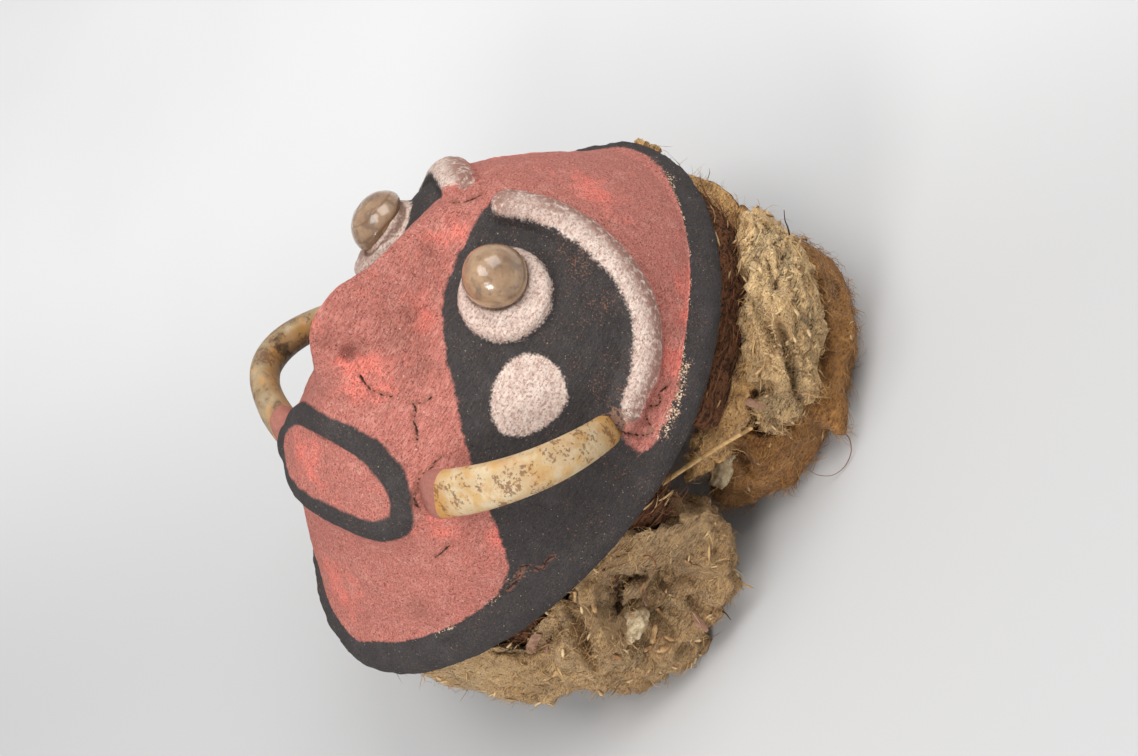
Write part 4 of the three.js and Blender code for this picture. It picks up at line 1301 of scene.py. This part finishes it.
def matted(piece, felt):
    """Folds, lumps, torn hollows and crumbs of matted felt, moved into the mesh of a wad, with painted shade stored
    for its hollows and towards one side.
    """
    mesh = piece.data
    points, normals = read_points(mesh), read_normals(mesh)
    grain = unit(np.array(felt["grain"]))
    seed = felt["seed"] * 10
    stretched = points - np.outer(points @ grain, grain) * 0.82
    folds = 1 - 2 * np.abs(uneven(stretched, 17, seed + 1, 3))
    lumps = uneven(points, 24, seed + 2)
    crumbs = uneven(points, 5, seed + 3, 3)
    fine = uneven(points, 2.4, seed + 4)
    wandering = stretched + 2.2 * np.stack([uneven(points, 8, seed + k) for k in (10, 11, 12)], -1)
    edge, scrap = plates(wandering, 9, seed)
    torn = smoothstep(edge, 0.02, 0.28) - 0.7 + 0.8 * (scrap - 0.5)
    small = felt["folds"] * (folds - 0.45) + felt["crumbs"] * crumbs + felt["plates"] * torn + 0.4 * fine
    rise = felt["lumps"] * lumps + small
    # Painted shade: the low places of the small relief get a higher hollow value.
    hollow = smoothstep(-small, 0.15, 1.7)
    facing = normals @ VIEW
    for x, y, half_length, half_width, depth, angle in felt["hollows"]:
        tree = BVHTree.FromPolygons(points.tolist(), [tuple(p.vertices) for p in mesh.polygons])
        centre = tree.ray_cast(Vector(EYE_POINT), Vector(sight(x, y)))[0]
        if centre is None:
            raise RuntimeError(f"{piece.name}: the hollow at pixel {x}, {y} misses the felt")
        offset = points - np.array(centre)
        spin = math.radians(angle)
        length_way = math.cos(spin) * IMAGE_RIGHT + math.sin(spin) * IMAGE_UP
        width_way = -math.sin(spin) * IMAGE_RIGHT + math.cos(spin) * IMAGE_UP
        edge = np.hypot(offset @ length_way / half_length, offset @ width_way / half_width)
        edge = edge + 0.16 * uneven(points, 9, seed + 6)
        near = smoothstep(facing, -0.1, 0.3)
        dip = (1 - smoothstep(edge, 0.45, 1.05)) * near
        lip = np.exp(-(((edge - 1.12) / 0.2) ** 2)) * near
        rise = rise - depth * dip + min(2.4, depth * 0.22) * lip
        # Dug hollows get painted shade, raised rolls lose some of it.
        hollow = np.maximum(hollow, dip * 0.85) if depth > 0 else hollow * (1 - 0.8 * dip)
    points = points + normals * rise[:, None]
    if felt["lift"]:
        y = points[:, 1] - WIDEST_Y
        length = np.where(y > 0, CROWN_LENGTH, CHIN_LENGTH)
        reach = (np.abs(points[:, 0] / (RIM_WIDTH / 2)) ** OVAL_POWER + np.abs(y / length) ** OVAL_POWER)
        reach = reach ** (1 / OVAL_POWER)
        spread = np.clip(FELT_REACH - reach, 0, None) * smoothstep(reach, 0.77, 0.86)
        spread = spread * smoothstep(points[:, 2], 26, 56) * felt["spread"]
        points[:, :2] += np.stack([points[:, 0], y], 1) * (spread / np.maximum(reach, 0.1))[:, None]
        beyond = smoothstep(reach + spread, 0.89, 0.945)
        points[:, 2] += felt["lift"] * beyond * smoothstep(points[:, 2], 38, 72)
    points[:, 2] = np.maximum(points[:, 2], 0.15)
    write_points(mesh, points)
    flow = unit(grain * 0.5 + 2.2 * np.stack([uneven(points, 7, seed + k) for k in (7, 8, 9)], -1))
    normals = read_normals(mesh)
    flow = unit(flow - normals * np.sum(flow * normals, 1)[:, None])
    store(mesh, "flow", flow)
    store(mesh, "hollow", hollow)
    store(mesh, "cover", 1 - 0.75 * hollow)
    # tone: painted shade, darker towards one end of a direction in the picture, plus each scrap's own random darkness.
    low, high, angle = felt["tone"]
    along = points @ (math.cos(math.radians(angle)) * IMAGE_RIGHT + math.sin(math.radians(angle)) * IMAGE_UP)
    along = (along - along.min()) / np.ptp(along)
    store(mesh, "tone", np.clip(low + (high - low) * along + 0.5 * (scrap - 0.5), 0, 1))
    mesh.shade_smooth()


class MASK_OT_felt(bpy.types.Operator):
    """Matt the wads of cobweb felt that are left of the hood, with their loose threads"""

    bl_idname = "mask.felt"
    bl_label = "Felt"

    def execute(self, context):
        sizes = context.scene.mask_sizes
        finishes = {
            "tan_felt": (
                cobweb_felt("tan_felt", colour_of("tan_felt"), srgb(220, 184, 134), srgb(134, 98, 62),
                    srgb(64, 45, 31)),
                hair_finish("tan_threads", srgb(216, 178, 126), srgb(144, 104, 64))),
            "brown_felt": (
                cobweb_felt("brown_felt", colour_of("brown_felt"), srgb(180, 130, 74), srgb(98, 62, 32),
                    srgb(48, 32, 20)),
                hair_finish("brown_threads", srgb(190, 140, 82), srgb(98, 62, 32))),
        }
        flake_finish = hair_finish("cream_flakes", srgb(222, 192, 146), srgb(140, 104, 68))
        shred_finish = hair_finish("felt_shreds", srgb(204, 168, 118), srgb(120, 88, 54))
        for node, felt in FELTS.items():
            mat, thread_finish = finishes[felt["slot"]]
            wad = even_copy(node + "_matted", node, sizes.felt_cell)
            matted(wad, felt)
            wad.data.materials.clear()
            wad.data.materials.append(mat)
            long, seed = sizes.hair_length, felt["seed"]
            loose = [
                threads_on(wad, node + "_threads", THREAD, felt["threads"], long, 0.4, thread_finish, seed),
                threads_on(wad, node + "_curls", CURL, felt["curls"], long * 0.5, 0.8, thread_finish,
                    seed + 20),
                threads_on(wad, node + "_flakes", FLAKE, felt["flakes"], long * 0.42, 0.7, flake_finish,
                    seed + 40),
                threads_on(wad, node + "_shreds", SHRED, felt["shreds"], long * 0.85, 0.22, shred_finish,
                    seed + 60),
            ]
            place(wad, felt["slot"], node)
            for piece in loose:
                place(piece, felt["slot"])
        return {"FINISHED"}


def chip(centre, normal, length, width, thickness, angle, seed, curl=0.2):
    """Points and faces of a thin pointed flake lying on a surface, turned by an angle of the picture."""
    normal = unit(normal)
    heading = math.cos(math.radians(angle)) * IMAGE_RIGHT + math.sin(math.radians(angle)) * IMAGE_UP
    long_way = unit(heading - normal * (heading @ normal))
    wide_way = np.cross(normal, long_way)
    rings = []
    turn_round = np.arange(12) * 2 * math.pi / 12
    for share in np.linspace(0, 1, 11):
        half = (
            width / 2 * math.sin(math.pi * (0.08 + 0.84 * share)) ** 0.6
            * (1 + 0.14 * math.sin(9 * share + seed)))
        lift = curl * length * (2 * share - 1) ** 2
        middle = centre + long_way * length * (share - 0.5) + normal * (lift + thickness)
        rings.append(middle + (half * np.cos(turn_round))[:, None] * wide_way
                     + (thickness / 2 * np.sin(turn_round))[:, None] * normal)
    return ringed(rings)


def pebble(centre, normal, size, seed):
    """Points and faces of a knobbly lump half sunk in the felt."""
    work = bmesh.new()
    bmesh.ops.create_icosphere(work, subdivisions=4, radius=1)
    points = np.array([v.co[:] for v in work.verts])
    faces = [[v.index for v in f.verts] for f in work.faces]
    work.free()
    knobs = 1 + 0.26 * uneven(points, 0.5, seed) + 0.09 * uneven(points, 0.2, seed + 1)
    return points * knobs[:, None] * np.array(size) + np.array(centre) + unit(normal) * min(size) * 0.15, faces


def joined(parts):
    points, faces, shift = [], [], 0
    for part_points, part_faces in parts:
        points.append(part_points)
        faces += [[v + shift for v in f] for f in part_faces]
        shift += len(part_points)
    return np.vstack(points), faces


def felt_sheet(rows, thickness, seed):
    """Points and faces of a thin lumpy sheet between two edges, given as rows of (share, x, y, z, x, y, z)."""
    rings = []
    for share in np.linspace(0, 1, 60):
        start = np.array([through(rows, share, k) for k in (1, 2, 3)])
        stop = np.array([through(rows, share, k) for k in (4, 5, 6)])
        lift = unit(np.cross(stop - start, [0.3, -0.5, 0.2])) * thickness / 2
        lift = lift if lift[2] > 0 else -lift
        shares = np.linspace(0, 1, 12)[:, None]
        above = start + (stop - start) * shares + lift * (1 - shares**4)
        below = start + (stop - start) * shares[::-1] - lift * (1 - shares[::-1] ** 4)
        rings.append(np.vstack([above, below]))
    points, faces = ringed(rings)
    return points + 0.8 * np.stack([uneven(points, 7, seed + k, 3) for k in range(3)], -1), faces


FELT_EDGE = [
    (0, 6, 124, 89, 9, 130, 88), (0.35, 24, 122, 86, 27, 132, 83), (0.7, 38, 114, 81, 44, 129, 74),
    (1, 50, 106, 76, 58, 126, 65),
]
TUFTS = [
    ((714, 440), 58, (8, 12, 7)), ((726, 418), 57, (9, 13, 9)), ((738, 392), 58, (7, 15, 8)),
    ((745, 366), 58, (6, 13, 7)),
    ((700, 462), 54, (6, 8, 5)), ((642, 145), 93, (5, 2.6, 2.2)), ((655, 150), 90, (4, 2.4, 2)),
]


class MASK_OT_tufts(bpy.types.Operator):
    """Tuck tufts of felt into the gaps at the rim and lay a thin edge of felt behind the crown"""

    bl_idname = "mask.tufts"
    bl_label = "Tufts of felt"

    def execute(self, context):
        parts = [felt_sheet(FELT_EDGE, 2.4, 51)]
        for (x, y), height, size in TUFTS:
            ray = sight(x, y)
            centre = EYE_POINT + ray * (height - EYE_POINT[2]) / ray[2]
            parts.append(pebble(centre, np.array([0, 0, 1.0]), size, x))
        points, faces = joined(parts)
        ragged = np.stack([uneven(points, 8, 66 + k, 3) for k in range(3)], -1)
        points = points + ragged * np.where(points[:, 2] < 75, 3.4, 0.8)[:, None]
        attributes = {
            "flow": unit(np.stack([uneven(points, 6, k) for k in (61, 62, 63)], -1)),
            "cover": np.ones(len(points)),
            "hollow": smoothstep(uneven(points, 6, 64), 0.1, 0.7), "tone": np.full(len(points), 0.25),
        }
        finish = cobweb_felt("tuft_felt", colour_of("tan_felt"), srgb(206, 162, 104), srgb(128, 84, 46),
            srgb(60, 40, 26))
        piece = mesh_object("felt_tufts", points, faces, finish, attributes)
        threads = hair_finish("tuft_threads", srgb(222, 182, 126), srgb(126, 84, 48))
        long = threads_on(piece, "felt_tuft_threads", THREAD, 900, 0.008, 0.5, threads, 15)
        curls = threads_on(piece, "felt_tuft_curls", CURL, 1100, 0.005, 0.8, threads, 16)
        for made in (piece, long, curls):
            place(made, "tan_felt")
        return {"FINISHED"}


class MASK_OT_cane(bpy.types.Operator):
    """Split the strip of cane that sticks out from under the rim"""

    bl_idname = "mask.cane"
    bl_label = "Cane strip"

    def execute(self, context):
        start, stop = np.array(CANE_FROM, float), np.array(CANE_TO, float)
        along = unit(stop - start)
        across = unit(np.cross([0, 0, 1], along))
        upward = np.cross(along, across)
        angle = np.arange(20) * 2 * math.pi / 20
        rings = []
        for share in np.linspace(0, 1, 40):
            size = 1 - 0.35 * share
            centre = start + (stop - start) * share + upward * 0.9 * math.sin(math.pi * share)
            flat = np.maximum(np.sin(angle), -0.35)
            wide = CANE_WIDTH / 2 * size * np.cos(angle) * (1 + 0.05 * math.sin(23 * share))
            rings.append(centre + wide[:, None] * across + (CANE_THICKNESS / 2 * size * flat)[:,
                None] * upward)
        points, faces = ringed(rings)
        place(mesh_object("cane_strip_split", points, faces, split_cane()), "cane", "cane_strip")
        return {"FINISHED"}


def carrier_tree(names):
    """One search tree over several shown pieces, in millimetres."""
    points, faces = [], []
    for name in names:
        mesh = bpy.data.objects[name].data
        shift = len(points)
        points += read_points(mesh).tolist()
        faces += [[v + shift for v in p.vertices] for p in mesh.polygons]
    return BVHTree.FromPolygons(points, faces)


def tube(centres, radius, sides=7):
    """Points and faces of a tube along some centres, closed at both ends and thinner at the last."""
    centres = np.array(centres, float)
    tangents = unit(np.gradient(centres, axis=0))
    side_way = unit(np.cross(tangents, [0.31, 0.77, 0.55]))
    other = np.cross(tangents, side_way)
    angle = np.arange(sides) * 2 * math.pi / sides
    size = radius * np.linspace(1, 0.35, len(centres))[:, None, None]
    rings = centres[:, None] + size * (
        np.cos(angle)[None, :, None] * side_way[:, None] + np.sin(angle)[None, :, None] * other[:, None])
    return ringed(list(rings))


# Litter in the felt, by the photograph's pixels: (x, y, length, width, angle) in millimetres and degrees
LEAF_SKINS = [
    (534, 640, 13, 5.5, 78), (547, 646, 7, 4, 60), (700, 624, 11, 4, -58), (644, 598, 8, 3, 82),
    (752, 404, 13, 4, -35),
]
WOOD_CHIPS = [
    (654, 634, 9, 2.8, 80), (618, 655, 5, 3.6, -30), (592, 607, 5, 2.8, -70), (663, 650, 6, 2.4, 20),
    (557, 671, 5.5, 2.2, 48), (673, 514, 4, 2, 30), (762, 372, 8, 1.8, 62), (668, 640, 5, 2, -10),
    (640, 586, 5, 1.6, 70), (688, 560, 5, 1.5, 110), (645, 650, 6, 2, 35), (578, 596, 6, 1.8, 20),
    (660, 610, 6, 2, -60),
]
SEED_LUMPS = [
    (632, 623, (6, 7.6, 5.5)), (640, 614, (3.8, 4, 3.6)), (627, 636, (4.4, 4, 3)), (626, 616, (3.2, 3.4, 3)),
    (725, 470, (5, 9, 5)),
]


class MASK_OT_litter(bpy.types.Operator):
    """Lay the seed lump, leaf skins, chips, twigs and the hair loop in the felt"""

    bl_idname = "mask.litter"
    bl_label = "Litter in the felt"

    def execute(self, context):
        wads = [node + "_matted" for node in ("upper_felt_pad", "folded_felt", "lower_felt")]
        tree = carrier_tree([*wads, "fibre_collar_band"])

        def seen(x, y):
            place_hit, normal = tree.ray_cast(Vector(EYE_POINT), Vector(sight(x, y)))[:2]
            if place_hit is None:
                raise RuntimeError(f"the litter at pixel {x}, {y} has no felt under it")
            normal = np.array(normal)
            return np.array(place_hit), normal if normal @ VIEW > 0 else -normal

        skins = [chip(*seen(x, y), long, wide, 0.5, turn_by, x, 0.12) for x, y, long, wide,
            turn_by in LEAF_SKINS]
        chips = [chip(*seen(x, y), long, wide, 1.3, turn_by, x, 0.02) for x, y, long, wide,
            turn_by in WOOD_CHIPS]
        lumps = [pebble(*seen(x, y), size, x) for x, y, size in SEED_LUMPS]
        leaf = litter_finish("leaf_skin", srgb(170, 132, 108), srgb(140, 104, 84))
        wood = litter_finish("wood_chip", srgb(196, 160, 112), srgb(150, 108, 72))
        seed = litter_finish("seed_lump", srgb(214, 194, 158), srgb(182, 156, 120))
        place(mesh_object("leaf_skins", *joined(skins), leaf), "tan_felt")
        place(mesh_object("wood_chips", *joined(chips), wood), "tan_felt")
        place(mesh_object("seed_lumps", *joined(lumps), seed), "tan_felt")

        def strand(pixels, radius, lifts):
            """A bent strand through pixels, each lifted off the point where the last one sits on the felt."""
            start, normal = seen(*pixels[0])
            depth = (start - EYE_POINT) @ -VIEW
            line = []
            for (x, y), lifted in zip(pixels, lifts):
                ray = sight(x, y)
                line.append(EYE_POINT + ray * (depth - lifted) / (ray @ -VIEW))
            line[0] = start - normal * 2
            dense = np.linspace(0, len(line) - 1, 12 * len(line))
            rows = [(i, *p) for i, p in enumerate(line)]
            return tube(np.stack([through(rows, dense, k) for k in (1, 2, 3)], -1), radius)

        twigs = [
            strand([(790, 236), (788, 228), (785, 220), (784, 210)], 0.45, [0, 2, 4, 6]),
            strand([(714, 610), (724, 612), (731, 620)], 0.5, [0, 1, 2]),
            strand([(583, 640), (570, 634), (553, 632), (540, 636)], 0.35, [0, 2.5, 3, 1]),
        ]
        loop = [strand([(842, 431), (849, 438), (851, 452), (845, 466), (833, 475), (818, 475), (808, 469)],
                       0.28, [0, -2, -4, -5, -5, -3, -1])]
        tendril = [
            strand([(612, 605), (606, 585), (616, 567), (632, 552), (645, 548)], 0.4, [0, 2.5, 3, 3, 1]),
            strand([(640, 560), (650, 556), (656, 566), (648, 574)], 0.35, [0, 2, 2.5, 1]),
        ]
        dark = hair_finish("dark_twig", srgb(86, 60, 44), srgb(52, 36, 28))
        rust = hair_finish("rust_tendril", srgb(170, 104, 62), srgb(120, 68, 40))
        place(mesh_object("twigs", *joined(twigs), dark), "brown_felt")
        place(mesh_object("hair_loop", *joined(loop), rust), "brown_felt")
        place(mesh_object("tendrils", *joined(tendril), rust), "brown_felt")
        return {"FINISHED"}


class MASK_OT_stage(bpy.types.Operator):
    """Set up the pale sheet, the soft studio light and the camera"""

    bl_idname = "mask.stage"
    bl_label = "Stage"

    def execute(self, context):
        reach = 3.2
        corners = [(-reach, -reach, 0), (reach, -reach, 0), (reach, reach, 0), (-reach, reach, 0)]
        mesh = bpy.data.meshes.new("sheet")
        mesh.from_pydata(corners, [], [(0, 1, 2, 3)])
        mesh.materials.append(pale_sheet())
        link(bpy.data.objects.new("sheet", mesh))

        def softbox(name, right, up, front, distance, size, power):
            """A square light, placed by how far it stands to the image's right, above it and in front of it."""
            aim = metres(CAMERA_TARGET)
            towards = unit(right * IMAGE_RIGHT + up * IMAGE_UP + front * VIEW)
            lamp = bpy.data.lights.new(name, "AREA")
            lamp.shape = "SQUARE"
            lamp.size = size
            lamp.energy = power
            stand = link(bpy.data.objects.new(name, lamp))
            stand.location = aim + towards * distance
            stand.rotation_euler = Vector(towards).to_track_quat("Z", "Y").to_euler()

        softbox("left_softbox", -0.8, 0.35, 0.95, 1.6, 0.8, 12)
        softbox("top_softbox", -0.1, 0.95, 0.75, 1.6, 1.1, 15)
        softbox("low_softbox", -0.4, -0.8, 0.9, 1.5, 0.5, 12)
        world = bpy.data.worlds.new("studio")
        world.use_nodes = True
        world.node_tree.nodes["Background"].inputs["Color"].default_value = (0.95, 0.97, 1, 1)
        world.node_tree.nodes["Background"].inputs["Strength"].default_value = 0.48
        context.scene.world = world
        context.scene.view_settings.view_transform = "Standard"

        camera = link(bpy.data.objects.new("camera", bpy.data.cameras.new("camera")))
        camera.data.sensor_width = SENSOR
        camera.data.lens = SENSOR * CAMERA_DISTANCE / FRAME_WIDTH
        camera.data.clip_start = 0.05
        axes = Matrix((IMAGE_RIGHT, IMAGE_UP, VIEW)).transposed().to_4x4()
        camera.matrix_world = Matrix.Translation(Vector(metres(EYE_POINT))) @ axes
        context.scene.camera = camera
        return {"FINISHED"}


STEPS = (
    MASK_OT_stage, MASK_OT_face, MASK_OT_eyes, MASK_OT_tusks, MASK_OT_collar, MASK_OT_cane, MASK_OT_felt,
    MASK_OT_tufts, MASK_OT_litter,
)


class MASK_PT_sidebar(bpy.types.Panel):
    """Sizes, colours and steps of the mask in the 3D view's sidebar"""

    bl_idname = "MASK_PT_sidebar"
    bl_label = "Spirit mask"
    bl_space_type = "VIEW_3D"
    bl_region_type = "UI"
    bl_category = "Spirit mask"

    def draw(self, context):
        for group in (context.scene.mask_sizes, context.scene.mask_colours):
            box = self.layout.box()
            for label in group.__annotations__:
                box.prop(group, label)
        for step in STEPS:
            self.layout.operator(step.bl_idname)


CLASSES = (MaskColours, MaskSizes, *STEPS, MASK_PT_sidebar)


def register():
    for made in CLASSES:
        bpy.utils.register_class(made)
    bpy.types.Scene.mask_colours = bpy.props.PointerProperty(type=MaskColours)
    bpy.types.Scene.mask_sizes = bpy.props.PointerProperty(type=MaskSizes)


def unregister():
    del bpy.types.Scene.mask_sizes
    del bpy.types.Scene.mask_colours
    for made in reversed(CLASSES):
        bpy.utils.unregister_class(made)


def main():
    register()
    for step in STEPS:
        group, name = step.bl_idname.split(".")
        getattr(getattr(bpy.ops, group), name)()
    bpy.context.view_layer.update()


if __name__ == "__main__":
    main()
